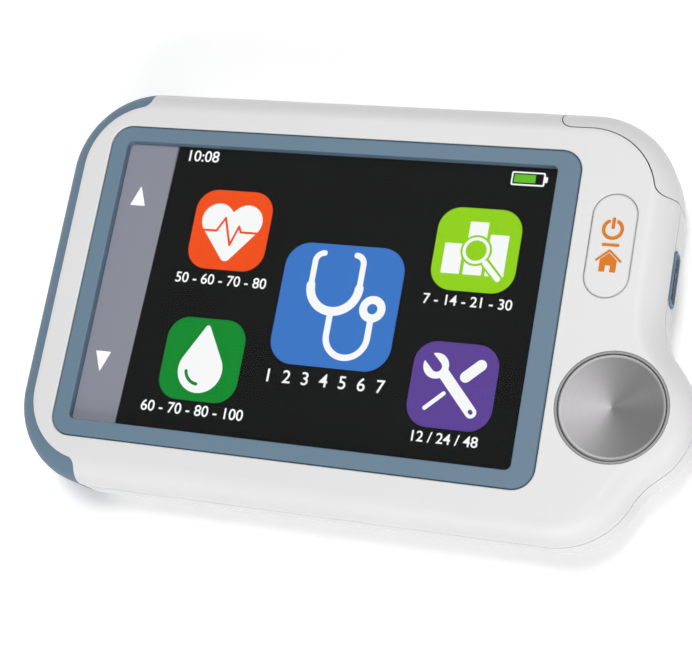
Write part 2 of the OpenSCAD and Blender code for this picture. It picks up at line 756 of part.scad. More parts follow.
module rear_shell() {
  color(white) {
    difference() {
      union() {
        difference() {
          difference() {
            loft(concat([[groove, parting_z], [groove, parting_z - groove], [0, parting_z - 2*groove]],
              back_rings(0, 0, back_r)));
            bed_pocket();
          }
          shell_space(floor_t - over, parting_z + over);
          end_cuts();
        }
        for (p = SCREWS)
          translate([p.x, p.y, floor_t - root]) cylinder(d = rear_post_d, h = post_z - floor_t + root);
        for (p = PILLARS)
          translate([p.x, p.y, floor_t - root]) cylinder(d = pillar_d, h = board_z - floor_t + root);
        translate([hinge.x, hinge.y, knuckle_z]) cylinder(r = knuckle_r, h = knuckle_h);
        translate([hinge.x - knuckle_r, hinge.y - barrel_r - fit - root, knuckle_z])
          cube([2*knuckle_r, barrel_r + fit + root, knuckle_h]);
        translate([eye_x - eye_block_l/2, top_y - eye_depth - eye_wall, floor_t - root])
          cube([eye_block_l, eye_depth + eye_wall - wall + root/2, eye_h + eye_wall - floor_t + root]);
      }
      translate([hinge.x, hinge.y, 0]) cylinder(d = pin_d + 2*play, h = body_t);
      for (p = SCREWS) {
        translate([p.x, p.y, -over]) cylinder(d = head_d + 2*fit, h = head_z + head_h + over);
        translate([p.x, p.y, 0]) cylinder(d = shank_d + 4*fit, h = post_z + over);
      }
      slab(-over, rear_sink + rear_t) round_rect(
        rear_x - rear_l/2 - play, rear_y - rear_w/2 - play, rear_x + rear_l/2 + play, rear_y + rear_w/2 + play,
        rear_r + play);
      slab(0, floor_t + over) round_rect(
        rear_x - rear_l/2 + rear_ledge, rear_y - rear_w/2 + rear_ledge,
        rear_x + rear_l/2 - rear_ledge, rear_y + rear_w/2 - rear_ledge, rear_r - rear_ledge);
      for (k = [0:slot_count - 1])
        slab(-over, floor_t + over)
          translate([speaker_x, speaker_y + (k - (slot_count - 1)/2)*slot_pitch])
            rotate(90) stadium(slot_w, slot_l);
      translate([eye_x - eye_l/2, top_y - eye_depth, -over]) cube([eye_l, eye_depth + over, eye_h + over]);
      translate([eye_x - eye_l/2 - eye_bar_seat - play, eye_bar_y, eye_bar_z]) rotate([0, 90, 0])
        cylinder(d = eye_bar_d + 2*play, h = eye_l + 2*(eye_bar_seat + play));
      translate([socket_x, 0, 0]) rotate([90, 0, 90])
        slab(0, socket_d + over) round_rect(
          port_y - surround_l/2 - play, port_z - surround_h/2 - play,
          port_y + surround_l/2 + play, port_z + surround_h/2 + play, surround_r + play);
    }
  }
}

module left_band() {
  color(slate) difference() {
    intersection() {
      whole_casing();
      slab(-over, body_t + over) band_plan(0);
    }
    translate([left_x - over, 0, 0]) rotate([90, 0, 90]) slab(0, strip_t + play + over)
      translate([0, body_t/2]) rotate(90) stadium(strip_h + 2*play, strip_l + 2*play);
  }
}

module left_electrode() {
  color(steel) translate([left_x, 0, 0]) rotate([90, 0, 90]) slab(0, strip_t) translate([0, body_t/2])
    rotate(90) stadium(strip_h, strip_l);
}

module screen_bezel() {
  color(slate) difference() {
    union() {
      slab(bezel_z, bezel_top) translate([bezel_x, 0])
        round_rect(-bezel_l/2, -bezel_w/2, bezel_l/2, bezel_w/2, bezel_r);
      slab(bezel_z, roof_z) translate([bezel_x, 0]) round_rect(
        -bezel_l/2 - bezel_rim, -bezel_w/2 - bezel_rim, bezel_l/2 + bezel_rim, bezel_w/2 + bezel_rim,
        bezel_r + bezel_rim);
    }
    slab(ledge_z, body_t + over) round_rect(lens_x0, lens_y0, lens_x1, lens_y1, lens_r);
    slab(bezel_z - over, body_t) round_rect(
      lens_x0 + ledge_w, lens_y0 + ledge_w, lens_x1 - ledge_w, lens_y1 - ledge_w, lens_r);
  }
}

module touch_lens() {
  color("#2a2c30") slab(lens_z, lens_top)
    round_rect(lens_x0 + play, lens_y0 + play, lens_x1 - play, lens_y1 - play, lens_r - play);
}

module scroll_strip() {
  color("#888a96") slab(ledge_z, film_top) intersection() {
    round_rect(lens_x0 + play, lens_y0 + play, lens_x1 - play, lens_y1 - play, lens_r - play);
    translate([lens_x0, lens_y0]) square([strip_w, lens_y1 - lens_y0]);
  }
}

module scroll_arrows() {
  color("white")
    for (side = [-1, 1])
      translate([lens_x0 + strip_w/2, (lens_y0 + lens_y1)/2 + side*arrow_y, film_top])
        linear_extrude(ink_t)
          polygon([[-arrow_w/2, -side*arrow_h/2], [arrow_w/2, -side*arrow_h/2], [0, side*arrow_h/2]]);
}

module display_gasket() {
  color(rubber) difference() {
    slab(bezel_z, ledge_z) round_rect(
      lens_x0 + ledge_w + play, lens_y0 + ledge_w + play, lens_x1 - ledge_w - play, lens_y1 - ledge_w - play,
      lens_r - play);
    slab(0, body_t) translate([face_x0, face_y0]) square([face_x1 - face_x0, face_y1 - face_y0]);
  }
}

module display_glass() {
  color("#242424") {
    slab(glass_z, bezel_z) translate([black_x0 - glass_lap, lens_y0 - glass_lap])
      square([lens_x1 - black_x0 + 2*glass_lap, lens_y1 - lens_y0 + 2*glass_lap]);
    slab(glass_z, ledge_z) translate([face_x0 + play, face_y0 + play])
      square([face_x1 - face_x0 - 2*play, face_y1 - face_y0 - 2*play]);
  }
}

module backlight_tray() {
  lap = glass_lap + tray_lap;
  color("#d8dadc") slab(tray_z, glass_z)
    translate([black_x0 - lap, lens_y0 - lap])
      square([lens_x1 - black_x0 + 2*lap, lens_y1 - lens_y0 + 2*lap]);
}

module display_holder() {
  lap = glass_lap + tray_lap;
  color("#9aa0a6") difference() {
    slab(holder_z, tray_z) translate([black_x0 - lap, lens_y0 - lap])
      square([lens_x1 - black_x0 + 2*lap, lens_y1 - lens_y0 + 2*lap]);
    for (x = [black_x0 + holder_w, (black_x0 + lens_x1 + holder_w)/2])
      slab(0, body_t) translate([x, lens_y0 + holder_w])
        square([(lens_x1 - black_x0 - 3*holder_w)/2, lens_y1 - lens_y0 - 2*holder_w]);
  }
}

module display_cable() {
  glass_x = black_x0 - glass_lap;
  x0 = glass_x - cable_flap;
  z1 = glass_z + glass_t/2;
  color("#b8742a") translate([x0, -cable_w/2, 0]) {
    translate([0, 0, z1 - cable_t]) cube([cable_flap, cable_w, cable_t]);
    translate([0, 0, board_top]) cube([cable_t, cable_w, z1 - board_top]);
    translate([0, 0, board_top]) cube([cable_foot, cable_w, cable_t]);
  }
}

module home_key() {
  color(white) {
    slab(key_rim_z, key_top) translate([key_x, key_y]) stadium(key_w, key_l);
    slab(key_rim_z, key_rim_z + key_rim_t) translate([key_x, key_y])
      stadium(key_w + 2*key_rim, key_l + 2*key_rim);
    translate([switch_x, key_y, plunger_top]) cylinder(d = stem_d, h = key_rim_z - plunger_top);
  }
}

module key_symbols() {
  color(orange) translate([key_x, key_y, key_top]) linear_extrude(ink_t) {
    translate([0, sign_y]) difference() {
      circle(d = power_d);
      circle(d = power_d - 2*sign_w);
      translate([-sign_w, 0]) square([2*sign_w, power_d]);
    }
    translate([-sign_w/2, sign_y]) square([sign_w, power_d/2]);
    square([bar_l, sign_w], center = true);
    translate([0, -sign_y]) difference() {
      polygon([
        [-house_w/2, 0], [0, house_h/2], [house_w/2, 0], [house_wall_w/2, 0],
        [house_wall_w/2, -house_h/2], [-house_wall_w/2, -house_h/2], [-house_wall_w/2, 0]]);
      translate([-door_w/2, -house_h/2 - over]) square([door_w, door_h + over]);
    }
  }
}

module switch_plunger() {
  z0 = board_top + switch_base + play + key_travel;
  color("#26282b") translate([switch_x, key_y, z0]) cylinder(d = plunger_d, h = plunger_top - z0);
}

module key_switch() {
  color("#3b3e42") difference() {
    translate([switch_x - switch_w/2, key_y - switch_w/2, board_top]) cube([switch_w, switch_w, switch_h]);
    translate([switch_x, key_y, board_top + switch_base]) cylinder(d = plunger_d + 2*play, h = switch_h);
  }
}

module thumb_electrode() {
  color(steel) translate([bump.x, bump.y, thumb_z]) rotate_extrude() difference() {
    union() {
      square([thumb_d/2, thumb_t - thumb_edge_r]);
      square([thumb_d/2 - thumb_edge_r, thumb_t]);
      translate([thumb_d/2 - thumb_edge_r, thumb_t - thumb_edge_r]) circle(thumb_edge_r);
    }
    polygon([
      [0, thumb_t - dish], [thumb_d/2 - land_w, thumb_t], [thumb_d/2 - land_w, thumb_t + over],
      [0, thumb_t + over]]);
  }
}

module thumb_gasket() {
  color(rubber) translate([bump.x, bump.y, thumb_z]) difference() {
    cylinder(d = thumb_hole_d, h = thumb_t - thumb_edge_r/2);
    translate([0, 0, -over]) cylinder(d = thumb_d + play, h = thumb_t + 2*over);
  }
}

module thumb_contact() {
  color("#c9a24a") translate([bump.x, bump.y, 0]) {
    translate([0, 0, board_top]) cylinder(d = contact_d, h = thumb_z - board_top);
    translate([0, 0, board_top]) cylinder(d = collar_d, h = collar_h);
  }
}

module rear_electrode() {
  color(steel) {
    slab(rear_sink, rear_sink + rear_t) round_rect(
      rear_x - rear_l/2, rear_y - rear_w/2, rear_x + rear_l/2, rear_y + rear_w/2, rear_r);
    translate([rear_x, rear_y, rear_sink]) cylinder(d = stud_d, h = rear_t + stud_h);
  }
}

module rear_contact() {
  color("#c9a24a") translate([rear_x, rear_y, 0]) {
    translate([0, 0, rear_sink + rear_t + stud_h])
      cylinder(d = contact_d, h = board_z - rear_sink - rear_t - stud_h);
    translate([0, 0, board_z - collar_h]) cylinder(d = collar_d, h = collar_h);
  }
}

module finger_clip() {
  color(white) difference() {
    intersection() {
      whole_casing();
      slab(-over, body_t + over) clip_plan(0);
    }
    translate([hinge.x, hinge.y, 0]) cylinder(d = pin_d + 2*play, h = pin_top + play);
    translate([hinge.x - 2*barrel_r, hinge.y - 2*barrel_r, spring_z - play])
      cube([2*barrel_r + hinge_cut, 4*barrel_r, knuckle_top + 2*play - spring_z]);
    corner_block(
      clip_r - over, clip_r + pad_t + play, pad_from_deg - slack_deg, pad_to_deg + slack_deg,
      pad_z - play, pad_z + pad_h + play);
  }
}

module clip_pad() {
  color(rubber) difference() {
    corner_block(clip_r + play, clip_r + pad_t, pad_from_deg, pad_to_deg, pad_z, pad_z + pad_h);
    corner_pin(window_d, clip_r - over, corner_r);
  }
}

module light_window() {
  color("#7a2222") corner_pin(window_d - 2*play, clip_r + 2*play, clip_r + pad_t - play);
}

module finger_bed() {
  color(rubber) difference() {
    corner_block(clip_r - fit - pad_t, clip_r - fit - play, pad_from_deg, pad_to_deg, pad_z, pad_z + pad_h);
    corner_pin(window_d + 2*play, 0, corner_r);
  }
}

module sensor_window() {
  color("#7a2222") corner_pin(window_d, sensor_r + play, clip_r - fit - 2*play);
}

module sensor_board() {
  color("#1f6b3a") translate([corner.x, corner.y, pad_z]) rotate(pad_mid)
    translate([sensor_r - sensor_t, -sensor_w/2, 0])
      cube([sensor_t, sensor_w, sensor_h]);
}

module hinge_pin() {
  color(steel) translate([hinge.x, hinge.y, pin_z]) cylinder(d = pin_d, h = pin_top - pin_z);
}

module clip_spring() {
  color(steel) difference() {
    union() {
      translate([hinge.x, hinge.y, spring_z]) cylinder(r = spring_r, h = spring_h);
      translate([hinge.x, hinge.y - spring_r, spring_z]) cube([hinge_cut - 2*play, spring_wire, spring_wire]);
      translate([hinge.x - spring_r, hinge.y - spring_leg, spring_z + spring_h - spring_wire])
        cube([spring_wire, spring_leg, spring_wire]);
    }
    translate([hinge.x, hinge.y, 0]) cylinder(r = spring_r - spring_wire, h = body_t);
  }
}

module port_surround() {
  depth = wall + surround_rise;
  color(slate) translate([side_x - wall, 0, 0]) rotate([90, 0, 90]) slab(0, depth) difference() {
    round_rect(
      port_y - surround_l/2, port_z - surround_h/2, port_y + surround_l/2, port_z + surround_h/2, surround_r);
    round_rect(
      port_y - socket_l/2 - play, port_z - socket_h/2 - play,
      port_y + socket_l/2 + play, port_z + socket_h/2 + play, socket_r + play);
  }
}

module port_socket() {
  color(steel) translate([socket_x, 0, 0]) rotate([90, 0, 90]) difference() {
    slab(0, socket_d) round_rect(
      port_y - socket_l/2, port_z - socket_h/2, port_y + socket_l/2, port_z + socket_h/2, socket_r);
    slab(socket_wall, socket_d + over) round_rect(
      port_y - socket_l/2 + socket_wall, port_z - socket_h/2 + socket_wall,
      port_y + socket_l/2 - socket_wall, port_z + socket_h/2 - socket_wall, socket_r - socket_wall);
  }
}

module port_tongue() {
  color("#202226") translate([socket_x + socket_wall, port_y - tongue_w/2, port_z - tongue_t/2])
    cube([socket_d - socket_wall - tongue_in, tongue_w, tongue_t]);
}

module main_board() {
  color("#1f6b3a") difference() {
    slab(board_z, board_top) polygon([
      [board_left_x, -board_half_w], [board_step_x, -board_half_w], [board_step_x, tab_low_y],
      [board_right_x, tab_low_y], [board_right_x, tab_high_y], [board_step_x, tab_high_y],
      [board_step_x, board_half_w], [board_left_x, board_half_w]]);
    slab(0, body_t) translate([socket_x - notch_gap, port_y - socket_l/2 - notch_gap])
      square([socket_d, socket_l + 2*notch_gap]);
  }
}

module shield_can() {
  color(steel) translate([board_step_x - shield_in - shield_l/2, -shield_w/2, board_top])
    cube([shield_l, shield_w, holder_z - shield_gap - board_top]);
}

module battery() {
  color("#c8ccd0") translate([battery_x - battery_l/2, -battery_w/2, battery_z])
    cube([battery_l, battery_w, battery_t]);
}

module battery_tape() {
  color("#4a4d52") translate([battery_x - battery_l/2 + tape_in, -battery_w/2 + tape_in, tape_z])
    cube([battery_l - 2*tape_in, battery_w - 2*tape_in, tape_t]);
}

module speaker() {
  color("#55585c") translate([speaker_x, speaker_y, floor_t + foam_t]) difference() {
    cylinder(d = speaker_d, h = speaker_t);
    translate([0, 0, -over]) cylinder(d = speaker_d - 2*foam_w, h = over + cone_depth);
  }
}

module speaker_foam() {
  color(rubber) translate([speaker_x, speaker_y, floor_t]) difference() {
    cylinder(d = speaker_d, h = foam_t);
    translate([0, 0, -over]) cylinder(d = speaker_d - 2*foam_w, h = foam_t + 2*over);
  }
}

module case_screws() {
  color(steel)
    for (p = SCREWS)
      translate([p.x, p.y, head_z]) difference() {
        union() {
          cylinder(d = head_d, h = head_h);
          cylinder(d = shank_d, h = screw_l);
        }
        for (a = [0, 90])
          rotate(a) cube([cross_l, cross_w, 2*cross_t], center = true);
      }
}

module strap_bar() {
  color(steel) translate([eye_x - eye_l/2 - eye_bar_seat, eye_bar_y, eye_bar_z]) rotate([0, 90, 0])
    cylinder(d = eye_bar_d, h = eye_l + 2*eye_bar_seat);
}

front_shell();
rear_shell();
left_band();
left_electrode();
screen_bezel();
touch_lens();
scroll_strip();
scroll_arrows();
display_gasket();
display_glass();
backlight_tray();
display_holder();
display_cable();
home_key();
key_symbols();
switch_plunger();
key_switch();
thumb_electrode();
thumb_gasket();
thumb_contact();
rear_electrode();
rear_contact();
finger_clip();
clip_pad();
light_window();
hinge_pin();
clip_spring();
finger_bed();
sensor_window();
sensor_board();
port_surround();
port_socket();
port_tongue();
main_board();
shield_can();
battery();
battery_tape();
speaker();
speaker_foam();
case_screws();
strap_bar();
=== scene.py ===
# Looks of the pocket home monitor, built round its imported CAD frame.
# It lies on its back: +X runs along the screen to the thumb bump, +Y to the screen's top edge and
# +Z out of the screen. Shapes are worked out in millimetres and placed in metres.
import math

import bmesh
import bpy
from mathutils import Matrix, Vector


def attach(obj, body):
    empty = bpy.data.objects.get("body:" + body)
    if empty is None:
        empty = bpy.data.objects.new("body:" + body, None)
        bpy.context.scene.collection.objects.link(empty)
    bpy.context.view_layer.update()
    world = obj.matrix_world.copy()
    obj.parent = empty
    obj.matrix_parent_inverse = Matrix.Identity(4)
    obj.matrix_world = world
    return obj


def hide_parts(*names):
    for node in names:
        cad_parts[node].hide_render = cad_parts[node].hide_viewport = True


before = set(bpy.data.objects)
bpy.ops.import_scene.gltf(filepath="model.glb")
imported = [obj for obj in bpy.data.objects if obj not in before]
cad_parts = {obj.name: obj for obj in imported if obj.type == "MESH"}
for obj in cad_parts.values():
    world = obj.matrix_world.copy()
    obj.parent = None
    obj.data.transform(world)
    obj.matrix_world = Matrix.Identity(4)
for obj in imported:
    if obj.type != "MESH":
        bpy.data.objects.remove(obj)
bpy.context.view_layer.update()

# ---------------------------------------------------------------------------------------------
# Camera. It stands above the lower right of the monitor and looks down at it steeply, with a
# long lens, where the straight edges of the photographed case put it.
# ---------------------------------------------------------------------------------------------
eye = Vector((81.13, -58.02, 225.06)) / 1000
across = Vector((0.93364, 0.17678, -0.31154))
up = Vector((-0.08995, 0.95757, 0.27380))
lens_mm = 93.73

camera_data = bpy.data.cameras.new("camera")
camera_data.lens = lens_mm
camera_data.sensor_width = 36
camera = bpy.data.objects.new("camera", camera_data)
back = across.cross(up).normalized()
camera.matrix_world = Matrix.Translation(eye) @ Matrix((across, up, back)).transposed().to_4x4()
bpy.context.collection.objects.link(camera)
bpy.context.scene.camera = camera

# ---------------------------------------------------------------------------------------------
# Front and rear shell. Two injection-moulded white ABS halves that meet on a shadow groove, the
# front one with the openings for bezel, key and thumb electrode. Four screws hold them together.
# ---------------------------------------------------------------------------------------------
# Places in plan: the middle of the clip's round corner, its hinge, the thumb electrode, the screws
corner = (28.2, 16.15)
hinge = (25.55, 27.0)
thumb = (36.0, -10.65)
SCREWS = [(-20, 24.6), (-20, -24.6), (14, 24.6), (14, -24.6)]
# Outline of the case as arcs (x, y, radius), anticlockwise. A negative radius curves inwards
CASE = [
    (*corner, 12), (-33.7, 16.15, 12), (-33.7, -16.15, 12), (29.6, -17.45, 10.7),
    (48.5121, -25.8663, -10), (*thumb, 9.687), (49.45, 2.6990, -9.25),
]
# Plan of the finger clip in the upper right corner, open to the outside of the case
CLIP = [
    (42.2, 17.05, 0), (42.2, 30.15, 0), (25.4, 30.15, 0), (23.9, 29.4454, -1.5),
    (*hinge, 1.45), (*corner, -9.4), (39.1476, 18.95, 1.9),
]
# Plan of the coloured band round the left end
BAND = [
    (-34.9, 30.15, 0), (-47.7, 30.15, 0), (-47.7, -30.15, 0), (-34.9, -30.15, 0),
    (-36.1, -26.3721, 1.2), (-33.7, -16.15, -9.3), (-33.7, 16.15, -9.3), (-36.1, 26.3721, 1.2),
]
# Thickness of the case, roundings of its front and back edges, and the groove between the shells
case_t = 13
front_r = 3.4
back_r = 5
parting_z = 8.8
groove_h = 0.4
groove_d = 0.35
# Walls of the shells, heights of the floor and the roof inside, and the wall behind clip and band
wall = 1.6
floor_z = 1.5
roof_z = 11.5
clip_wall = 1.3
# Gaps round the clip, round pieces in the front's openings and round pieces that are pressed in
clip_gap = 0.15
fit = 0.1
play = 0.05
edge_r = 0.2
thumb_hole_r = 7.1


def seam(a, b):
    """Direction of the outward normal where arc a of an outline passes into arc b."""
    gap = math.hypot(b[0] - a[0], b[1] - a[1])
    return math.atan2(b[1] - a[1], b[0] - a[0]) - math.acos(max(-1, min(1, (a[2] - b[2]) / gap)))


def outline(arcs, inset, z):
    """Ring of edges along an outline at height z, moved inwards by inset. Lines join its arcs."""
    ring = bmesh.new()
    first = last = None
    for before, arc, after in zip(arcs[-1:] + arcs[:-1], arcs, arcs[1:] + arcs[:1]):
        x, y, r = arc
        start = seam(before, arc)
        sense = -1 if r < 0 else 1
        sweep = sense * ((sense * (seam(arc, after) - start)) % math.tau)
        at = Vector((x + (r - inset) * math.cos(start), y + (r - inset) * math.sin(start), z))
        if last is None or (last.co - at).length > 0.001:
            begin = ring.verts.new(at)
            if last:
                ring.edges.new((last, begin))
            last = begin
        first = first or last
        if abs(sweep) < 6.28 and abs((r - inset) * sweep) > 0.001:
            spun = bmesh.ops.spin(
                ring, geom=[last], cent=(x, y, z), axis=(0, 0, 1), angle=sweep,
                steps=math.ceil(abs(math.degrees(sweep)) / (2 if abs(r) > 5 else 6)))
            last = [v for v in spun["geom_last"] if isinstance(v, bmesh.types.BMVert)][0]
    if (last.co - first.co).length > 0.001:
        ring.edges.new((last, first))
    else:
        bmesh.ops.pointmerge(ring, verts=[first, last], merge_co=first.co)
    return ring


def take(shape, *others):
    """Adds other shapes to a shape. They are used up."""
    for other in others:
        mesh = bpy.data.meshes.new("shape")
        other.to_mesh(mesh)
        other.free()
        shape.from_mesh(mesh)
        bpy.data.meshes.remove(mesh)
    return shape


def stack(arcs, rings):
    """Closed solid through the outline at each (inset, z), from the bottom up."""
    shape = bmesh.new()
    counts = [0]
    for inset, z in rings:
        take(shape, outline(arcs, inset, z))
        counts.append(len(shape.edges))
    shape.edges.ensure_lookup_table()
    loops = [shape.edges[a:b] for a, b in zip(counts, counts[1:])]
    for lower, upper in zip(loops, loops[1:]):
        bmesh.ops.bridge_loops(shape, edges=lower + upper)
    for end in (loops[0], loops[-1]):
        bmesh.ops.contextual_create(shape, geom=end)
    bmesh.ops.recalc_face_normals(shape, faces=shape.faces)
    return shape


def bottom_round(inset, z, r, steps=8):
    """Rings (inset, z) up a rounded bottom edge of radius r."""
    turns = [k * math.pi / 2 / steps for k in range(steps + 1)]
    return [(inset + r * (1 - math.sin(t)), z + r * (1 - math.cos(t))) for t in turns]


def top_round(inset, z, r, steps=8):
    """Rings (inset, z) up a rounded top edge of radius r."""
    turns = [k * math.pi / 2 / steps for k in range(steps + 1)]
    return [(inset + r * (1 - math.cos(t)), z - r * (1 - math.sin(t))) for t in turns]


def through(arcs, growth=0.0):
    """Cutter through the whole case along an outline that is grown outwards."""
    return stack(arcs, [(-growth, -2), (-growth, case_t + 2)])


def hole(arcs, low, high, growth=0.0, r=edge_r):
    """Cutter for a hole with straight walls from low to high, whose upper edge is rounded by r."""
    flare = [(-growth - inset, z) for inset, z in top_round(0, high, r, 4)]
    return stack(arcs, [(-growth, low)] + flare + [(-growth - r, high + 2)])


def lathe(profile, x, y, steps=96):
    """Closed solid turned about an upright axis from its (radius, z) profile."""
    shape = bmesh.new()
    points = [shape.verts.new((x + r, y, z)) for r, z in profile]
    edges = [shape.edges.new(pair) for pair in zip(points, points[1:] + points[:1])]
    bmesh.ops.spin(
        shape, geom=points + edges, cent=(x, y, 0), axis=(0, 0, 1), angle=math.tau, steps=steps,
        use_merge=True)
    bmesh.ops.remove_doubles(shape, verts=shape.verts, dist=0.0005)
    bmesh.ops.dissolve_degenerate(shape, edges=shape.edges, dist=0.0001)
    bmesh.ops.recalc_face_normals(shape, faces=shape.faces)
    return shape


def rectangle(x0, y0, x1, y1, r):
    """Outline of a rectangle with round corners."""
    return [(x1 - r, y1 - r, r), (x0 + r, y1 - r, r), (x0 + r, y0 + r, r), (x1 - r, y0 + r, r)]


def carve(body, tool, operation="DIFFERENCE"):
    """The body with the tool taken out of it, joined to it or kept in common. Both are used up."""
    objects = []
    for shape in (body, tool):
        mesh = bpy.data.meshes.new("shape")
        shape.to_mesh(mesh)
        shape.free()
        objects.append(bpy.data.objects.new("shape", mesh))
        bpy.context.collection.objects.link(objects[-1])
    boolean = objects[0].modifiers.new("carve", "BOOLEAN")
    boolean.solver = "MANIFOLD"
    boolean.operation = operation
    boolean.object = objects[1]
    result = bmesh.new()
    result.from_object(objects[0], bpy.context.evaluated_depsgraph_get())
    for spare in objects:
        bpy.data.meshes.remove(spare.data)
    return result


def linear(colour):
    """sRGB hex colour as linear RGBA."""
    parts = [int(colour[i:i + 2], 16) / 255 for i in (1, 3, 5)]
    return [c / 12.92 if c <= 0.04045 else ((c + 0.055) / 1.055) ** 2.4 for c in parts] + [1]


def empty_material(name):
    """A material with no nodes yet."""
    made = bpy.data.materials.new(name)
    made.use_nodes = True
    made.node_tree.nodes.clear()
    return made


def add(material, kind, inputs=None, **settings):
    """Adds a shader node. Its inputs take a value or another node's output."""
    node = material.node_tree.nodes.new("ShaderNode" + kind)
    for name, value in settings.items():
        setattr(node, name, value)
    for name, value in (inputs or {}).items():
        if isinstance(value, bpy.types.NodeSocket):
            material.node_tree.links.new(value, node.inputs[name])
        else:
            node.inputs[name].default_value = value
    return node


def place(name, shape, body, material, nodes=(), sharp=35):
    """Makes a piece of a shape in mm, gives it its finish and lets it ride on a body."""
    bmesh.ops.remove_doubles(shape, verts=shape.verts, dist=0.0002)
    bmesh.ops.scale(shape, vec=(0.001, 0.001, 0.001), verts=shape.verts)
    mesh = bpy.data.meshes.new(name)
    shape.to_mesh(mesh)
    shape.free()
    mesh.shade_smooth()
    mesh.set_sharp_from_angle(angle=math.radians(sharp))
    mesh.materials.append(material)
    piece = bpy.data.objects.new(name, mesh)
    bpy.context.collection.objects.link(piece)
    even = piece.modifiers.new("even", "WEIGHTED_NORMAL")
    even.keep_sharp = True
    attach(piece, body)
    if nodes:
        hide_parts(*nodes)
    return piece


def moulded(name, dark, pale, grain, rough, relief=8e-6, clouds=0.015, **values):
    """Material of a moulded or cast piece: faint clouds of colour under a fine eroded skin."""
    made = empty_material(name)
    where = add(made, "TexCoord").outputs["Object"]
    cloud = add(made, "TexNoise", {"Vector": where, "Scale": 1 / clouds, "Detail": 2.0})
    tint = add(
        made, "Mix", {0: cloud.outputs["Fac"], 6: linear(dark), 7: linear(pale)}, data_type="RGBA")
    grit = add(made, "TexNoise", {"Vector": where, "Scale": 1 / grain, "Detail": 3.0})
    skin = add(made, "Bump", {"Height": grit.outputs["Fac"], "Strength": 0.4, "Distance": relief})
    dull = add(
        made, "MapRange",
        {"Value": grit.outputs["Fac"], "To Min": rough - 0.06, "To Max": rough + 0.06})
    surface = add(
        made, "BsdfPrincipled",
        {"Base Color": tint.outputs[2], "Roughness": dull.outputs[0], "Normal": skin.outputs[0],
         **values})
    add(made, "OutputMaterial", {"Surface": surface.outputs[0]})
    return made


# Moulded ABS, white: an even satin skin from a finely eroded mould, with faint cloudiness
shell_abs = moulded("moulded white ABS", "#dfdfdf", "#e3e3e3", 0.00028, 0.48, IOR=1.53)

hollow = stack(
    CASE, bottom_round(wall, floor_z, back_r - wall) + top_round(wall, roof_z, front_r - wall))
for plan in (CLIP, BAND):
    hollow = carve(hollow, through(plan, fit + clip_wall))

# Pocket in the corner for the finger bed and its window
bed_pocket = bmesh.new()
pocket = [
    bed_pocket.verts.new((corner[0] + r, corner[1], z))
    for r, z in ((8.45, 2.95), (14, 2.95), (14, 10.05), (8.45, 10.05))]
bed_pocket.faces.new(pocket)
bmesh.ops.rotate(
    bed_pocket, verts=pocket, cent=(*corner, 0), matrix=Matrix.Rotation(math.radians(23.5), 3, "Z"))
bmesh.ops.spin(
    bed_pocket, geom=bed_pocket.verts[:] + bed_pocket.edges[:] + bed_pocket.faces[:], cent=(*corner, 0),
    axis=(0, 0, 1), angle=math.radians(41), steps=20)
bmesh.ops.recalc_face_normals(bed_pocket, faces=bed_pocket.faces)

clip_room = through(CLIP, clip_gap)
band_room = through(BAND, play)
# Openings in the front for the bezel, the key and the thumb electrode
BEZEL = rectangle(-39.4, -22.2, 27.7, 22.2, 2.8)
KEY = [(32.9, 13.95, 2.8), (32.9, 5.95, 2.8)]
open_z = 9
rim_r = thumb_hole_r + 0.15
thumb_room = lathe(
    [(0, open_z), (thumb_hole_r, open_z), (thumb_hole_r, case_t - 0.15),
     (thumb_hole_r + 0.04, case_t - 0.05), (rim_r, case_t), (rim_r, case_t + 2), (0, case_t + 2)],
    *thumb)
front = stack(
    CASE, [(0.05, parting_z), (0, parting_z + 0.05)] + top_round(0, case_t, front_r, 14))
front = carve(front, hollow.copy())
front = carve(front, bed_pocket.copy())
front = carve(front, take(clip_room.copy(), band_room.copy()))
front = carve(front, take(
    hole(BEZEL, open_z, case_t, fit), hole(KEY, open_z, case_t, fit), thumb_room))
place("shell_front", front, "case", shell_abs, ["front_shell"])

rear = stack(
    CASE, bottom_round(0, 0, back_r, 16)
    + [(0, parting_z - groove_h), (groove_d, parting_z - groove_h + 0.1), (groove_d, parting_z)])
rear = carve(rear, hollow)
rear = carve(rear, bed_pocket)
rear = carve(rear, take(clip_room, band_room))
# Posts for the screws and the knuckle of the hinge with its web. They start inside the floor
root_z = 1.1
knuckle = (5.6, 8.6)
posts = [
    lathe([(0, root_z), (1.6, root_z), (2.1, 2.2), (2.1, 4), (0, 4)], x, y, 48) for x, y in SCREWS]
barrel = lathe([(0, knuckle[0]), (1.1, knuckle[0]), (1.1, knuckle[1]), (0, knuckle[1])], *hinge, 48)
rear = carve(rear, take(barrel, *posts), "UNION")
# Block round the strap eye, stepped to stay inside the rounded back edge
for far, low, high in ((25.9, root_z, 3), (26.75, 2.2, 5.3)):
    block = stack(rectangle(-31.1, 23.05, -22.9, far, 0.1), [(0, low), (0, high)])
    rear = carve(rear, block, "UNION")
web = stack(rectangle(24.45, 25.05, 26.65, 27, 0.05), [(0, z) for z in knuckle])
rear = carve(rear, web, "UNION")
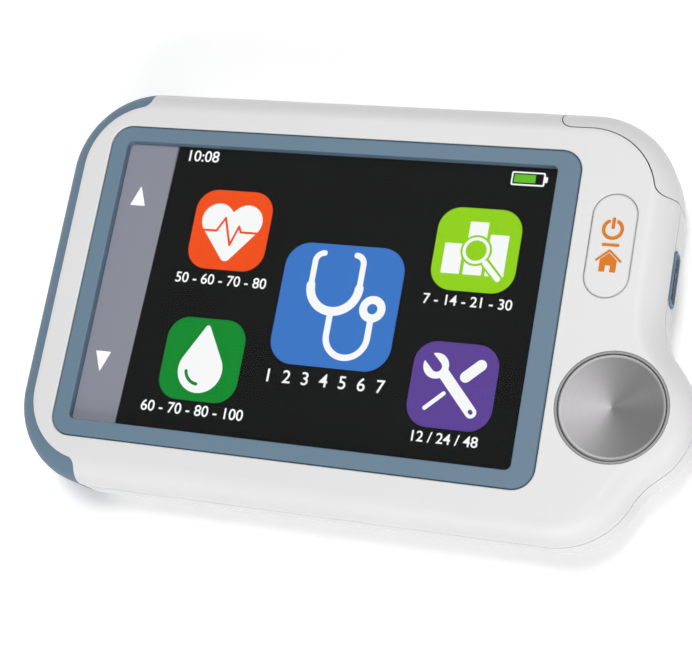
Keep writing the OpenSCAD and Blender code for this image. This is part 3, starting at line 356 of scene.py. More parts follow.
# Holes: the strap eye, the seat of the rear electrode, the hinge pin's bore, the port through the
# right wall, three slots over the speaker and the screws' seats
eye_room = stack(rectangle(-29.5, 24.15, -24.5, 30.15, 0.3), [(0, -2), (0, 4.2)])
PLATE = rectangle(15.5, -5.5, 28.5, 9.5, 2.5)
rim = play + 0.12
plate_room = stack(PLATE, [(-rim, -2), (-rim, 0), (-play, 0.12), (-play, 0.8)])
pin_bore_r = 0.65
pin_bore = lathe(
    [(0, -2), (pin_bore_r, -2), (pin_bore_r, case_t + 2), (0, case_t + 2)], *hinge, 32)
PORT = rectangle(4.3, 5.15, 11.5, 8.55, 1)
facing_right = Matrix(((0, 0, 1), (1, 0, 0), (0, 1, 0)))
port_room = stack(PORT, [(-play, 35.3), (-play, 43)])
bmesh.ops.rotate(port_room, verts=port_room.verts, matrix=facing_right)
slots = [
    stack([(36.05, y, 0.45), (31.95, y, 0.45)], [(-0.15, -2), (-0.15, 0), (0, 0.15), (0, 3)])
    for y in (-14.3, -12.5, -10.7)]
seat = [(0, -2), (1.65, -2), (1.65, 0), (1.5, 0.15), (1.5, 2.2), (0.85, 2.2), (0.85, 6), (0, 6)]
seats = [lathe(seat, x, y, 48) for x, y in SCREWS]
rear = carve(rear, take(eye_room, plate_room, pin_bore, port_room, *slots, *seats))
rear = carve(rear, stack(rectangle(17, -4, 27, 8, 1), [(0, 0.5), (0, 3)]))
place("shell_rear", rear, "case", shell_abs, ["rear_shell"])

# ---------------------------------------------------------------------------------------------
# Left band. Blue-grey satin ABS, snapped round the left end between the two shells, with a steel
# electrode strip let into its outer wall.
# ---------------------------------------------------------------------------------------------
# Moulded ABS, blue-grey: dyed through, with a soft satin skin that shines less than the shells
slate_abs = moulded(
    "moulded blue-grey ABS", "#677f93", "#6b8396", 0.00025, 0.5, **{"Specular IOR Level": 0.22})


def case_block():
    """The outside of the case as one block, of which the band and the clip are each a part."""
    return stack(CASE, bottom_round(0, 0, back_r, 16) + top_round(0, case_t, front_r, 14))


facing_left = Matrix(((0, 0, -1), (-1, 0, 0), (0, 1, 0)))
band = carve(case_block(), through(BAND), "INTERSECT")
# Plan of the strip on the left wall, and how far the wall's face is from the middle
strip_plan = [(10.4, 6.5, 1.6), (-10.4, 6.5, 1.6)]
left_wall = 45.7
strip_room = stack(
    strip_plan, [(-play, left_wall - 0.65), (-play, left_wall - 0.15), (-0.2, left_wall), (-0.2, 47)])
bmesh.ops.rotate(strip_room, verts=strip_room.verts, matrix=facing_left)
band = carve(band, strip_room)
place("band_left", band, "case", slate_abs, ["left_band"])

# Stainless steel, brushed lengthwise with a fine belt: soft streaks along the strip
strip_steel = empty_material("belt-brushed stainless steel")
where = add(strip_steel, "TexCoord").outputs["Object"]
along = add(strip_steel, "Mapping", {"Vector": where, "Scale": (1, 0.02, 1)})
lines = add(strip_steel, "TexNoise", {"Vector": along.outputs[0], "Scale": 1 / 0.00012, "Detail": 3.0})
gloss = add(
    strip_steel, "MapRange", {"Value": lines.outputs["Fac"], "To Min": 0.25, "To Max": 0.4})
skin = add(strip_steel, "Bump", {"Height": lines.outputs["Fac"], "Strength": 0.3, "Distance": 4e-6})
surface = add(
    strip_steel, "BsdfPrincipled",
    {"Base Color": linear("#a9aaac"), "Metallic": 1.0, "Roughness": gloss.outputs[0],
     "Normal": skin.outputs[0]})
add(strip_steel, "OutputMaterial", {"Surface": surface.outputs[0]})

strip = stack(strip_plan, [(0, left_wall - 0.6)] + top_round(0, left_wall, 0.2, 4))
bmesh.ops.rotate(strip, verts=strip.verts, matrix=facing_left)
place("electrode_left", strip, "case", strip_steel, ["left_electrode"])

# ---------------------------------------------------------------------------------------------
# Screen bezel. The same blue-grey ABS as the band, a flat frame with softened edges that is held
# under the front shell by its rim.
# ---------------------------------------------------------------------------------------------
WINDOW = rectangle(-37.0, -19.9, 24.65, 20.1, 0.8)
# The bezel's top, the ledge that carries the lens, and the rim that the shell holds
bezel_z = case_t - play
ledge_z = 11.7
rim_w = 0.55
bezel = stack(
    BEZEL, [(-rim_w, 10.95), (-rim_w, roof_z), (0, roof_z)] + top_round(0, bezel_z, 0.3, 5))
bezel = carve(bezel, hole(WINDOW, ledge_z, bezel_z, 0, 0.15))
bezel = carve(bezel, stack(WINDOW, [(0.7, open_z), (0.7, 12.5)]))
place("bezel", bezel, "case", slate_abs, ["screen_bezel"])

# ---------------------------------------------------------------------------------------------
# Touch lens. One sheet of coated glass with ground edges, glued on the bezel's ledge, with a
# black border printed under it round the display.
# ---------------------------------------------------------------------------------------------
# Coated soda-lime glass: clear, and its coating keeps it from mirroring more than a faint shine.
# Only its outside shines, so that the picture also shows at a low angle
lens_glass = empty_material("coated lens glass")
outside = add(lens_glass, "Fresnel", {"IOR": 1.16})
within = add(lens_glass, "NewGeometry").outputs["Backfacing"]
shine = add(
    lens_glass, "Math", {0: outside.outputs[0], 1: within}, operation="SUBTRACT", use_clamp=True)
clear = add(lens_glass, "BsdfTransparent", {"Color": linear("#fdfefe")})
mirror = add(lens_glass, "BsdfGlossy", {"Color": linear("#ffffff"), "Roughness": 0.03})
surface = add(
    lens_glass, "MixShader", {0: shine.outputs[0], 1: clear.outputs[0], 2: mirror.outputs[0]})
add(lens_glass, "OutputMaterial", {"Surface": surface.outputs[0]})
lens_low = 11.85
lens_z = 12.65
ground = 0.06
lens = stack(WINDOW, bottom_round(play, lens_low, ground, 1) + top_round(play, lens_z, ground, 1))
place("lens", lens, "case", lens_glass, ["touch_lens"])

# Black ink and the display's own black: a deep even black that the lens alone makes shine
screen_black = moulded(
    "black display glass", "#121212", "#141414", 0.0004, 0.5, relief=2e-6,
    **{"Specular IOR Level": 0.02})
# Upper and lower end of the picture, and the leaning edge where the scroll strip ends
screen_y = (20.0, -19.8)
screen_right = 24.55
strip_end = -29.5
strip_lean = 0.95
sharp_r = 0.05
film_z = ledge_z + 0.002
screen = [
    (screen_right, screen_y[0], sharp_r), (strip_end + sharp_r, screen_y[0], sharp_r),
    (strip_end - strip_lean + sharp_r, screen_y[1], sharp_r), (screen_right, screen_y[1], sharp_r)]
place("screen_film", stack(screen, [(0, film_z), (0, 11.71)]), "case", screen_black)

# ---------------------------------------------------------------------------------------------
# Screen picture. Five lit tiles with plain signs and numbers, a clock and a battery sign, as the
# display shows them. They are lit pixels, so they give off their own colour.
# ---------------------------------------------------------------------------------------------
# The picture lies just over the black film, in layers. Its dots are those of a small display
tile_z = 11.715
layer = 0.02
dot = 0.00016


def pixels(name, colour):
    """Lit pixels of one colour: an even glow of their own, with the display's fine dot grid."""
    made = empty_material(name)
    where = add(made, "TexCoord").outputs["Object"]
    bright = linear(colour)
    grid = add(made, "TexChecker", {
        "Vector": where, "Scale": 1 / dot, "Color1": bright, "Color2": [c * 0.94 for c in bright]})
    surface = add(
        made, "BsdfPrincipled",
        {"Base Color": linear("#101010"), "Roughness": 0.6, "Specular IOR Level": 0.02,
         "Emission Color": grid.outputs[0], "Emission Strength": 1.0})
    add(made, "OutputMaterial", {"Surface": surface.outputs[0]})
    return made


def bow(x, y, r, start, end, width):
    """Outline of a stroke of that width along an arc, with round ends. Angles are in degrees."""
    a, b = math.radians(start), math.radians(end)
    return [
        (x, y, r + width / 2), (x + r * math.cos(b), y + r * math.sin(b), width / 2),
        (x, y, width / 2 - r), (x + r * math.cos(a), y + r * math.sin(a), width / 2)]


def stroke(points, width):
    """Outlines of the straight strokes from point to point."""
    return [
        [(x0, y0, width / 2), (x1, y1, width / 2)]
        for (x0, y0), (x1, y1) in zip(points, points[1:])]


def sheets(outlines, x, y, level):
    """Thin sheets of the given outlines about (x, y), on one level of the picture."""
    shape = bmesh.new()
    for arcs in outlines:
        sheet = stack(arcs, [(0, tile_z + level * layer), (0, tile_z + (level + 0.9) * layer)])
        shape = carve(shape, sheet, "UNION") if shape.verts else sheet
    bmesh.ops.translate(shape, vec=(x, y, 0), verts=shape.verts)
    return shape


def numbers(text, x, y, height, level):
    """Thin sheets in the form of plain numbers, centred on (x, y)."""
    font = bpy.data.curves.new("numbers", "FONT")
    font.body = text
    font.size = height / 0.69
    font.align_x = "CENTER"
    font.align_y = "CENTER"
    font.extrude = layer * 0.4
    font.offset = 0.02
    written = bpy.data.objects.new("numbers", font)
    bpy.context.collection.objects.link(written)
    shape = bmesh.new()
    shape.from_mesh(written.to_mesh())
    bpy.data.objects.remove(written)
    bmesh.ops.remove_doubles(shape, verts=shape.verts, dist=0.0005)
    bmesh.ops.translate(shape, vec=(x, y, tile_z + (level + 0.5) * layer), verts=shape.verts)
    return shape


white_pixels = pixels("lit white pixels", "#fdfdfd")
orange_pixels = pixels("lit orange pixels", "#f74f0e")
green_pixels = pixels("lit green pixels", "#008a2a")
blue_pixels = pixels("lit blue pixels", "#3a77c8")
lime_pixels = pixels("lit lime pixels", "#93d50f")
purple_pixels = pixels("lit purple pixels", "#5e4197")
TILES = {
    "tile_pulse": (-19.43, 8.49, 11.3, 3.0, orange_pixels),
    "tile_drop": (-19.73, -9.78, 11.4, 3.0, green_pixels),
    "tile_check": (-2.13, -0.75, 16.8, 3.4, blue_pixels),
    "tile_charts": (15.36, 8.37, 11.3, 3.0, lime_pixels),
    "tile_tools": (15.26, -9.8, 11.3, 3.0, purple_pixels),
}
for name, (x, y, side, r, material) in TILES.items():
    half = side / 2
    tile = sheets([rectangle(-half, -half, half, half, r)], x, y, 0)
    place(name, tile, "case", material)

# Signs on the tiles, each about its tile's middle. First a heart with a line of its beat
x, y = TILES["tile_pulse"][:2]
heart = [(2.1, 1.35, 2.35), (0, 2.85, -0.2), (-2.1, 1.35, 2.35), (0, -3.6, 0.8)]
place("sign_heart", sheets([heart], x, y, 1), "case", white_pixels)
pulse = [(-4.3, -0.2), (-2.0, -0.2), (-1.0, 1.7), (0.3, -2.1), (1.2, 0.6), (1.6, -0.2), (3.9, -0.2)]
place("sign_pulse", sheets(stroke(pulse, 0.32), x, y, 2), "case", orange_pixels)

# A drop with a glint
x, y = TILES["tile_drop"][:2]
drop = [(0, 4.4, 0.35), (0, -1.4, 3.2)]
place("sign_drop", sheets([drop], x, y, 1), "case", white_pixels)
glint = bow(0, -1.4, 2.0, 190, 265, 0.45)
place("sign_glint", sheets([glint], x, y, 2), "case", green_pixels)

# A stethoscope: ear tubes, yoke, hose and chest piece
x, y = TILES["tile_check"][:2]
scope = (
    stroke([(-4.2, 5.9), (-4.2, 2.6)], 0.8) + stroke([(2.6, 5.9), (2.6, 2.6)], 0.8)
    + [bow(-3.0, 5.9, 1.2, 95, 180, 0.8), bow(1.4, 5.9, 1.2, 0, 85, 0.8)]
    + [bow(-0.8, 2.6, 3.4, 180, 360, 1.2)]
    + stroke([(-0.8, -0.8), (-0.8, -4.0)], 0.85) + [bow(2.05, -4.0, 2.85, 180, 360, 0.85)]
    + stroke([(4.9, -4.0), (4.9, -1.6)], 0.85))
place("sign_scope", sheets(scope, x, y, 1), "case", white_pixels)
disc = rectangle(3.1, -1.8, 6.7, 1.8, 1.799)
place("sign_scope_disc", sheets([disc], x, y, 1), "case", white_pixels)
disc_eye = rectangle(4.2, -0.7, 5.6, 0.7, 0.699)
place("sign_scope_eye", sheets([disc_eye], x, y, 2), "case", blue_pixels)

# A bar chart under a loupe
x, y = TILES["tile_charts"][:2]
bars = [
    rectangle(-4.3, -3.4, -1.8, 0.7, 0.1), rectangle(-1.35, -3.4, 1.15, 3.8, 0.1),
    rectangle(1.6, -3.4, 4.1, 2.2, 0.1)]
place("sign_bars", sheets(bars, x, y, 1), "case", white_pixels)
loupe_room = [rectangle(-2.1, -2.2, 2.1, 2.0, 2.099)] + stroke([(1.5, -1.7), (3.5, -3.8)], 1.3)
place("sign_loupe_room", sheets(loupe_room, x, y, 2), "case", lime_pixels)
loupe = [bow(0, -0.1, 1.6, 0, 180, 0.42), bow(0, -0.1, 1.6, 180, 360, 0.42)]
loupe += stroke([(1.45, -1.7), (3.4, -3.7)], 0.75)
place("sign_loupe", sheets(loupe, x, y, 3), "case", white_pixels)

# A spanner and a screwdriver, crossed
x, y = TILES["tile_tools"][:2]
spanner = stroke([(-1.8, 1.9), (2.9, -3.2)], 1.5) + [rectangle(-4.3, 0.7, -0.9, 4.1, 1.699)]
driver = stroke([(1.5, 1.3), (3.3, 3.0)], 1.45) + stroke([(-3.2, -3.2), (-1.0, -1.1)], 0.55)
place("sign_tools", sheets(spanner + driver, x, y, 1), "case", white_pixels)
jaw_and_eye = stroke([(-2.5, 2.3), (-4.2, 4.0)], 1.4) + stroke([(2.8, -3.1), (2.9, -3.2)], 0.55)
place("sign_tools_room", sheets(jaw_and_eye, x, y, 2), "case", purple_pixels)

# Numbers under the tiles, the clock and the battery sign: text, middle and height of the digits
CAPTIONS = {
    "number_pulse": ("50 - 60 - 70 - 80", -19.4, 1.3, 1.4),
    "number_drop": ("60 - 70 - 80 - 100", -19.8, -16.8, 1.45),
    "number_check": ("1  2  3  4  5  6  7", -2.1, -11.0, 1.7),
    "number_charts": ("7 - 14 - 21 - 30", 15.3, 1.3, 1.35),
    "number_tools": ("12 / 24 / 48", 15.2, -16.8, 1.35),
    "number_clock": ("10:08", -25.7, 18.75, 1.55),
}
for name, (text, x, y, height) in CAPTIONS.items():
    place(name, numbers(text, x, y, height, 1), "case", white_pixels)
cell_x, cell_y = 20.75, 18.45
cell = [rectangle(-2.35, -0.95, 2.15, 0.95, 0.25), rectangle(2.0, -0.4, 2.5, 0.4, 0.1)]
place("battery_sign", sheets(cell, cell_x, cell_y, 1), "case", white_pixels)
room = sheets([rectangle(-2.13, -0.73, 1.93, 0.73, 0.1)], cell_x, cell_y, 2)
place("battery_sign_room", room, "case", screen_black)
charge = sheets([rectangle(-1.95, -0.55, 0.9, 0.55, 0.05)], cell_x, cell_y, 3)
leaf_pixels = pixels("lit leaf green pixels", "#63c321")
place("battery_sign_charge", charge, "case", leaf_pixels)

# ---------------------------------------------------------------------------------------------
# Home key. A white ABS stadium with a rounded top edge, kept in by a rim under the shell, with a
# stem to the switch. Its three signs are pad-printed in orange.
# ---------------------------------------------------------------------------------------------
key_z = 12.94
key_rim = 0.6
key_grow = 0.04
key = stack(
    KEY,
    [(-key_rim, 10.55), (-key_rim, 11.35), (-key_grow, 11.35)] + top_round(-key_grow, key_z, 0.3, 6))
key = carve(key, lathe([(0, 8.55), (1.3, 8.55), (1.3, 10.9), (0, 10.9)], 32.0, 9.95, 48), "UNION")
place("key_home", key, "key", shell_abs, ["home_key"])

# Pad-printed ink: a thin, slightly uneven satin film
orange_ink = moulded(
    "orange printing ink", "#dd7a14", "#e08220", 0.0002, 0.6, relief=3e-6, clouds=0.0006,
    **{"Specular IOR Level": 0.15})
ink = bmesh.new()
power = [bow(32.9, 12.05, 1.18, 120, 420, 0.45), [(32.9, 13.4, 0.22), (32.9, 12.3, 0.22)]]
bar = [(33.85, 9.98, 0.19), (31.95, 9.98, 0.19)]
roof = stroke([(31.35, 7.9), (32.9, 9.26), (34.45, 7.9)], 0.27)
room = [
    (32.9, 8.9, 0.03), (31.85, 7.98, 0.03), (31.85, 6.45, 0.03), (32.55, 6.45, 0.03),
    (32.6, 7.25, -0.03), (33.2, 7.25, -0.03), (33.25, 6.45, 0.03), (33.95, 6.45, 0.03),
    (33.95, 7.98, 0.03)]
for parts in (power, [bar], roof, [room]):
    sign = bmesh.new()
    for arcs in parts:
        piece = stack(arcs, [(0, key_z), (0, key_z + 0.045)])
        sign = carve(sign, piece, "UNION") if sign.verts else piece
    take(ink, sign)
place("key_signs", ink, "key", orange_ink, ["key_symbols"])

# ---------------------------------------------------------------------------------------------
# Thumb electrode. A disc turned from stainless steel with a shallow dish, which shows as a fan of
# light round its middle, pressed into a thin ring of grey silicone.
# ---------------------------------------------------------------------------------------------
# Stainless steel faced on a lathe: the tool's fine rings lean a little to the middle, and spread
# each lamp into a fan of light across them
turned_steel = empty_material("turned stainless steel")
where = add(turned_steel, "TexCoord").outputs["Object"]
middle = add(
    turned_steel, "VectorMath", {0: where, 1: (thumb[0] / 1000, thumb[1] / 1000, 0)},
    operation="SUBTRACT")
flat = add(turned_steel, "VectorMath", {0: middle.outputs[0], 1: (1, 1, 0)}, operation="MULTIPLY")
radius = add(turned_steel, "VectorMath", {0: flat.outputs[0]}, operation="LENGTH")
outward = add(turned_steel, "VectorMath", {0: flat.outputs[0]}, operation="NORMALIZE")
along = add(turned_steel, "VectorMath", {0: (0, 0, 1), 1: outward.outputs[0]}, operation="CROSS_PRODUCT")
lean = add(turned_steel, "VectorMath", {0: outward.outputs[0], "Scale": -0.12}, operation="SCALE")
facing = add(turned_steel, "NewGeometry").outputs["Normal"]
tilted = add(turned_steel, "VectorMath", {0: facing, 1: lean.outputs[0]}, operation="ADD")
normal = add(turned_steel, "VectorMath", {0: tilted.outputs[0]}, operation="NORMALIZE")
rings = add(
    turned_steel, "TexNoise", {"W": radius.outputs["Value"], "Scale": 1 / 0.0002, "Detail": 2.0},
    noise_dimensions="1D")
gloss = add(
    turned_steel, "MapRange", {"Value": rings.outputs["Fac"], "To Min": 0.42, "To Max": 0.52})
tint = add(
    turned_steel, "Mix", {0: rings.outputs["Fac"], 6: linear("#737273"), 7: linear("#7b7a7b")},
    data_type="RGBA")
surface = add(
    turned_steel, "BsdfPrincipled",
    {"Base Color": tint.outputs[2], "Metallic": 1.0, "Roughness": gloss.outputs[0],
     "Anisotropic": 0.84, "Tangent": along.outputs[0], "Normal": normal.outputs[0]})
add(turned_steel, "OutputMaterial", {"Surface": surface.outputs[0]})
thumb_r = 6.75
disc = lathe(
    [(0, 11.6), (thumb_r, 11.6), (thumb_r, 12.75), (6.732, 12.846), (6.677, 12.927), (6.596, 12.981),
     (6.5, 13.0), (6.15, 13.0), (6.05, 12.99), (0, 12.78)], *thumb, 160)
place("electrode_thumb", disc, "case", turned_steel, ["thumb_electrode"], 50)

# Silicone: matt and a little uneven, dark for the pads and grey for the ring round the disc
silicone = moulded("dark silicone", "#36383c", "#3d3f44", 0.0003, 0.7, relief=1.2e-5)
seal = moulded("grey silicone seal", "#949495", "#9b9b9c", 0.0003, 0.6)
gasket = lathe(
    [(6.77, 11.6), (7.08, 11.6), (7.08, 12.9), (7.02, 12.96), (6.83, 12.96), (6.77, 12.9)], *thumb)
place("gasket_thumb", gasket, "case", seal, ["thumb_gasket"])

# ---------------------------------------------------------------------------------------------
# Rear electrode. A stamped stainless steel plate with rounded corners, brushed as the strip is.
# It is set flush in the back, and a stud behind it goes through to its contact.
# ---------------------------------------------------------------------------------------------
plate = stack(PLATE, bottom_round(0, 0.1, 0.2, 4) + [(0, 0.8)])
plate = carve(plate, lathe([(0, 0.5), (2, 0.5), (2, 1.6), (0, 1.6)], 22, 2, 48), "UNION")
place("electrode_rear", plate, "case", strip_steel, ["rear_electrode"])

# ---------------------------------------------------------------------------------------------
# Finger clip. The white ABS cover of the upper right corner, on a steel pin at its left end, with
# a silicone pad and a light window inside. The bed and the sensor's window face it in the case.
# ---------------------------------------------------------------------------------------------
clip = carve(case_block(), through(CLIP), "INTERSECT")
# Bore for the pin, and the gap that takes the rear shell's knuckle and the spring
clip = carve(clip, lathe([(0, -2), (pin_bore_r, -2), (pin_bore_r, 11.25), (0, 11.25)], *hinge, 32))
clip = carve(clip, stack(rectangle(22, 24, 27.05, 29.9, 0.05), [(0, 4.2), (0, 8.7)]))


def corner_pad(r0, r1, z0, z1, start, sweep, edge):
    """Curved pad about the case's corner, with rounded edges. Angles are in degrees."""
    pad = bmesh.new()
    corners = ((r0, z0), (r1, z0), (r1, z1), (r0, z1))
    profile = [pad.verts.new((corner[0] + r, corner[1], z)) for r, z in corners]
    pad.faces.new(profile)
    bmesh.ops.rotate(
        pad, verts=profile, cent=(*corner, 0), matrix=Matrix.Rotation(math.radians(start), 3, "Z"))
    bmesh.ops.spin(
        pad, geom=pad.verts[:] + pad.edges[:] + pad.faces[:], cent=(*corner, 0), axis=(0, 0, 1),
        angle=math.radians(sweep), steps=20)
    bmesh.ops.recalc_face_normals(pad, faces=pad.faces)
    if edge:
        rims = [e for e in pad.edges if len(e.link_faces) == 2 and e.calc_face_angle() > 1]
        bmesh.ops.bevel(
            pad, geom=rims, offset=edge, offset_type="OFFSET", segments=3, profile=0.5,
            affect="EDGES", material=-1, clamp_overlap=True)
    return pad


def corner_pin(r, d0, d1):
    """Round pin that points away from the corner's axis at the middle of the pads."""
    pin = lathe([(0, d0), (r, d0), (r, d1), (0, d1)], 0, 0, 48)
    bmesh.ops.rotate(pin, verts=pin.verts, matrix=Matrix.Rotation(math.radians(90), 3, "Y"))
    bmesh.ops.rotate(pin, verts=pin.verts, matrix=Matrix.Rotation(math.radians(44), 3, "Z"))
    bmesh.ops.translate(pin, vec=(*corner, 6.5), verts=pin.verts)
    return pin


clip = carve(clip, corner_pad(8, 10.25, 2.95, 10.05, 23.5, 41, 0))
place("clip_cover", clip, "clip", shell_abs, ["finger_clip"])
pad = carve(corner_pad(9.45, 10.2, 3, 10, 24, 40, 0.15), corner_pin(1.2, 8, 12))
place("clip_pad_soft", pad, "clip", silicone, ["clip_pad"])
bed = carve(corner_pad(8.5, 9.25, 3, 10, 24, 40, 0.15), corner_pin(1.25, 7, 12))
place("finger_bed_soft", bed, "case", silicone, ["finger_bed"])

# ---------------------------------------------------------------------------------------------
# Port. A blue-grey ABS lip, pressed into the hole in the right side, round a socket that is drawn
# from thin steel and soldered to the main board.
# ---------------------------------------------------------------------------------------------
lip_face = 40.45
lip = stack(PORT, [(0, 38.6)] + top_round(0, lip_face, 0.2, 4))
lip = carve(lip, hole(rectangle(4.85, 5.6, 10.95, 8.1, 0.55), 37, lip_face, 0, 0.12))
bmesh.ops.rotate(lip, verts=lip.verts, matrix=facing_right)
place("port_lip", lip, "case", slate_abs, ["port_surround"])

SOCKET = rectangle(4.9, 5.65, 10.9, 8.05, 0.5)
socket_wall = 0.25
socket = stack(SOCKET, [(0, 35.3), (0, 40.15), (0.05, 40.2)])
socket = carve(
    socket, stack(SOCKET, [(socket_wall, 35.55), (socket_wall, 40.1), (0.15, 41)]))
bmesh.ops.rotate(socket, verts=socket.verts, matrix=facing_right)

# ---------------------------------------------------------------------------------------------
# Small metal pieces. Hinge pin, strap bar, screws, the coiled closing spring, the drawn port
# socket, the pressed shield and screen holder, and the gold-plated spring contacts.
# ---------------------------------------------------------------------------------------------
def metal(name, dark, pale, rough, grain=0.0002, **values):
    """Material of a metal piece, with fine scuffs that vary its colour and its roughness."""
    made = empty_material(name)
    where = add(made, "TexCoord").outputs["Object"]
    scuffs = add(made, "TexNoise", {"Vector": where, "Scale": 1 / grain, "Detail": 3.0})
    tint = add(
        made, "Mix", {0: scuffs.outputs["Fac"], 6: linear(dark), 7: linear(pale)}, data_type="RGBA")
    dull = add(
        made, "MapRange",
        {"Value": scuffs.outputs["Fac"], "To Min": rough - 0.05, "To Max": rough + 0.08})
    surface = add(
        made, "BsdfPrincipled",
        {"Base Color": tint.outputs[2], "Metallic": 1.0, "Roughness": dull.outputs[0], **values})
    add(made, "OutputMaterial", {"Surface": surface.outputs[0]})
    return made


def finish(material, *nodes):
    """Gives CAD nodes their finish."""
    for name in nodes:
        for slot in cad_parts[name].material_slots:
            slot.material = material


# Drawn stainless steel shines bright, tinned sheet is greyer and duller, and plated brass is a warm
# yellow with sharp lights
pin_steel = metal("bright stainless steel", "#b9babc", "#c6c7c9", 0.2)
finish(pin_steel, "hinge_pin", "strap_bar", "case_screws")
place("port_socket_drawn", socket, "case", pin_steel, ["port_socket"])
tinned = metal("tinned sheet steel", "#9b9fa3", "#a6aaae", 0.35, 0.0005)
finish(tinned, "shield_can", "display_holder")
finish(metal("gold-plated brass", "#c9a24a", "#d8b765", 0.22), "thumb_contact", "rear_contact")

# The closing spring is a coil of round wire with two straight legs
wire_r = 0.15
coil_r = 0.85
coil_low = 4.4
coil_h = 1.0
turns = 3.5
coil = bmesh.new()
wire = bmesh.ops.create_circle(
    coil, segments=12, radius=wire_r,
    matrix=Matrix.Translation((hinge[0], hinge[1] - coil_r, coil_low))
    @ Matrix.Rotation(math.pi / 2, 4, "Y"))
near_ring = list({e for v in wire["verts"] for e in v.link_edges})
spun = bmesh.ops.spin(
    coil, geom=wire["verts"] + near_ring, cent=(*hinge, coil_low), axis=(0, 0, -1),
    angle=math.tau * (turns - 0.25), steps=100, dvec=(0, 0, coil_h / 100))
far_ring = [e for e in spun["geom_last"] if isinstance(e, bmesh.types.BMEdge)]
for ring, leg in ((near_ring, (1.3, 0, 0)), (far_ring, (0, -0.9, 0))):
    out = bmesh.ops.extrude_edge_only(coil, edges=ring)["geom"]
    tips = [v for v in out if isinstance(v, bmesh.types.BMVert)]
    bmesh.ops.translate(coil, vec=leg, verts=tips)
bmesh.ops.holes_fill(coil, edges=[e for e in coil.edges if e.is_boundary])
bmesh.ops.recalc_face_normals(coil, faces=coil.faces)
place("spring_coil", coil, "case", pin_steel, ["clip_spring"])

# ---------------------------------------------------------------------------------------------
# Pieces inside. Screen layers, boards, battery, speaker and the sensor's red windows. They show
# only past the open clip, in the port and through the window, but each has its own material.
# ---------------------------------------------------------------------------------------------
# Printed film: matt grey, its right edge fading into the black border
strip_film = empty_material("printed grey film")
where = add(strip_film, "TexCoord").outputs["Object"]
apart = add(strip_film, "SeparateXYZ", {0: where})
speck = add(strip_film, "TexNoise", {"Vector": where, "Scale": 1 / 0.0003})
tint = add(
    strip_film, "Mix", {0: speck.outputs["Fac"], 6: linear("#8e8e9a"), 7: linear("#91929e")},
    data_type="RGBA")
edge = add(
    strip_film, "MapRange",
    {"Value": apart.outputs["X"], "From Min": strip_end / 1000 - 0.00035,
     "From Max": strip_end / 1000 + 0.00005})
faded = add(
    strip_film, "Mix", {0: edge.outputs[0], 6: tint.outputs[2], 7: linear("#2c2c2e")}, data_type="RGBA")
surface = add(
    strip_film, "BsdfPrincipled",
    {"Base Color": faded.outputs[2], "Roughness": 0.55, "Specular IOR Level": 0.2})
add(strip_film, "OutputMaterial", {"Surface": surface.outputs[0]})
film_left = -36.9
film = [
    (strip_end - 0.1, screen_y[0], sharp_r), (film_left, screen_y[0], sharp_r),
    (film_left, screen_y[1], sharp_r), (strip_end - strip_lean - 0.1, screen_y[1], sharp_r)]
strip = stack(film, [(0, film_z), (0, 11.8)])
place("strip_printed", strip, "case", strip_film, ["scroll_strip"])
# White printing ink with a faint painted glow of its own added, so that it shows a clean white
white_ink_painted_glow = moulded(
    "white printing ink with painted glow", "#f8f8f8", "#fdfdfd", 0.0002, 0.5, relief=2e-6,
    **{"Emission Color": linear("#ffffff"), "Emission Strength": 0.2})
arrow_layer = [(0, 11.81), (0, 11.84)]
upward = [(-34.05, 13.75, sharp_r), (-35.1, 11.1, sharp_r), (-33.0, 11.1, sharp_r)]
downward = [(-34.4, -12.75, sharp_r), (-33.35, -10.1, sharp_r), (-35.45, -10.1, sharp_r)]
arrows = take(stack(upward, arrow_layer), stack(downward, arrow_layer))
place("strip_arrows", arrows, "case", white_ink_painted_glow, ["scroll_arrows"])
# Inside: a white tray that spreads the light, amber cable film, black nylon, dark red windows that
# pass the sensor's light, glossy green boards and the battery's soft foil
finish(screen_black, "display_glass")
finish(silicone, "display_gasket", "battery_tape", "speaker_foam")
finish(moulded("white polycarbonate", "#d6d8da", "#dcdee0", 0.0004, 0.4), "backlight_tray")
finish(moulded("polyimide film", "#b87228", "#c27c30", 0.0005, 0.35, relief=3e-6), "display_cable")
finish(
    moulded("black nylon", "#202326", "#27292c", 0.0003, 0.5),
    "switch_plunger", "key_switch", "port_tongue", "speaker")
finish(
    moulded("clear red acrylic", "#6d1d1d", "#7a2222", 0.0006, 0.12, relief=1e-6), "light_window",
    "sensor_window")
finish(
    moulded("green circuit laminate", "#17633a", "#1c6f42", 0.0006, 0.35, relief=1.5e-5),
    "main_board", "sensor_board")
finish(metal("laminated pouch foil", "#b9bdc1", "#c8ccd0", 0.38, 0.0008), "battery")

# ---------------------------------------------------------------------------------------------
# Lights, floor and background. A plain white studio: a soft lamp overhead, one low in front, a weak
# one low at the right, and a white paper floor that keeps the monitor's shadow.
# ---------------------------------------------------------------------------------------------
world = bpy.data.worlds.new("white studio")
bpy.context.scene.world = world
world.use_nodes = True
world.node_tree.nodes.clear()


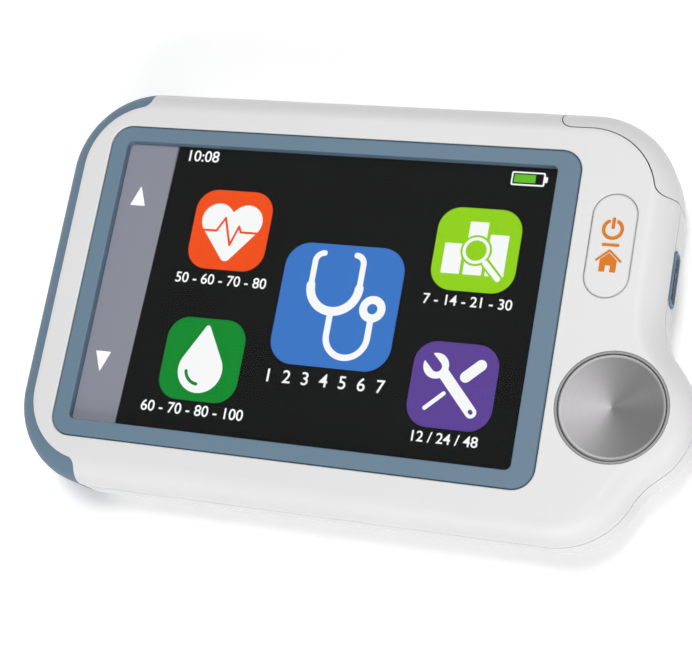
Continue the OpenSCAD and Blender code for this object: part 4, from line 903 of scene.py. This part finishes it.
def seen(material):
    """1 for what the camera, a reflection or clear glass shows, and 0 for light on the object."""
    path = add(material, "LightPath")
    shown = add(
        material, "Math", {0: path.outputs["Is Camera Ray"], 1: path.outputs["Is Glossy Ray"]},
        operation="MAXIMUM")
    return add(
        material, "Math", {0: shown.outputs[0], 1: path.outputs["Is Transmission Ray"]},
        operation="MAXIMUM").outputs[0]


ambient = 0.2
level = add(world, "MapRange", {"Value": seen(world), "To Min": ambient, "To Max": 1.0})
sky = add(world, "Background", {"Color": linear("#ffffff"), "Strength": level.outputs[0]})
add(world, "OutputWorld", {"Surface": sky.outputs[0]})

# Matt white paper: faint fibres, lifted to a clean white where nothing shades it
paper = empty_material("white paper")
where = add(paper, "TexCoord").outputs["Object"]
fibre = add(paper, "TexNoise", {"Vector": where, "Scale": 1 / 0.002})
tint = add(
    paper, "Mix", {0: fibre.outputs["Fac"], 6: linear("#fdfdfd"), 7: linear("#ffffff")}, data_type="RGBA")
lit = add(paper, "BsdfDiffuse", {"Color": tint.outputs[2]})
floor_lift = 0.22
lift = add(paper, "Math", {0: seen(paper), 1: floor_lift}, operation="MULTIPLY")
glow = add(paper, "Emission", {"Color": tint.outputs[2], "Strength": lift.outputs[0]})
surface = add(paper, "AddShader", {0: lit.outputs[0], 1: glow.outputs[0]})
add(paper, "OutputMaterial", {"Surface": surface.outputs[0]})
table = bmesh.new()
bmesh.ops.create_grid(table, x_segments=1, y_segments=1, size=0.4)
mesh = bpy.data.meshes.new("floor")
table.to_mesh(mesh)
table.free()
mesh.materials.append(paper)
floor = bpy.data.objects.new("floor", mesh)
bpy.context.collection.objects.link(floor)

# Direction, distance and size in metres, and power in watts
LAMPS = {
    "overhead": ((0.03, 0.2, 0.98), 0.9, 0.3, 4.5), "front": ((0.1, -0.9, 0.45), 0.9, 0.5, 3.45),
    "side": ((0.85, -0.35, 0.2), 0.9, 0.3, 1.5)}
for name, (way, far, size, watts) in LAMPS.items():
    lamp_data = bpy.data.lights.new(name, "AREA")
    lamp_data.size = size
    lamp_data.energy = watts
    lamp = bpy.data.objects.new(name, lamp_data)
    way = Vector(way).normalized()
    aim = way.to_track_quat("Z", "Y").to_matrix().to_4x4()
    lamp.matrix_world = Matrix.Translation(way * far) @ aim
    bpy.context.collection.objects.link(lamp)

bpy.context.scene.view_settings.view_transform = "Standard"
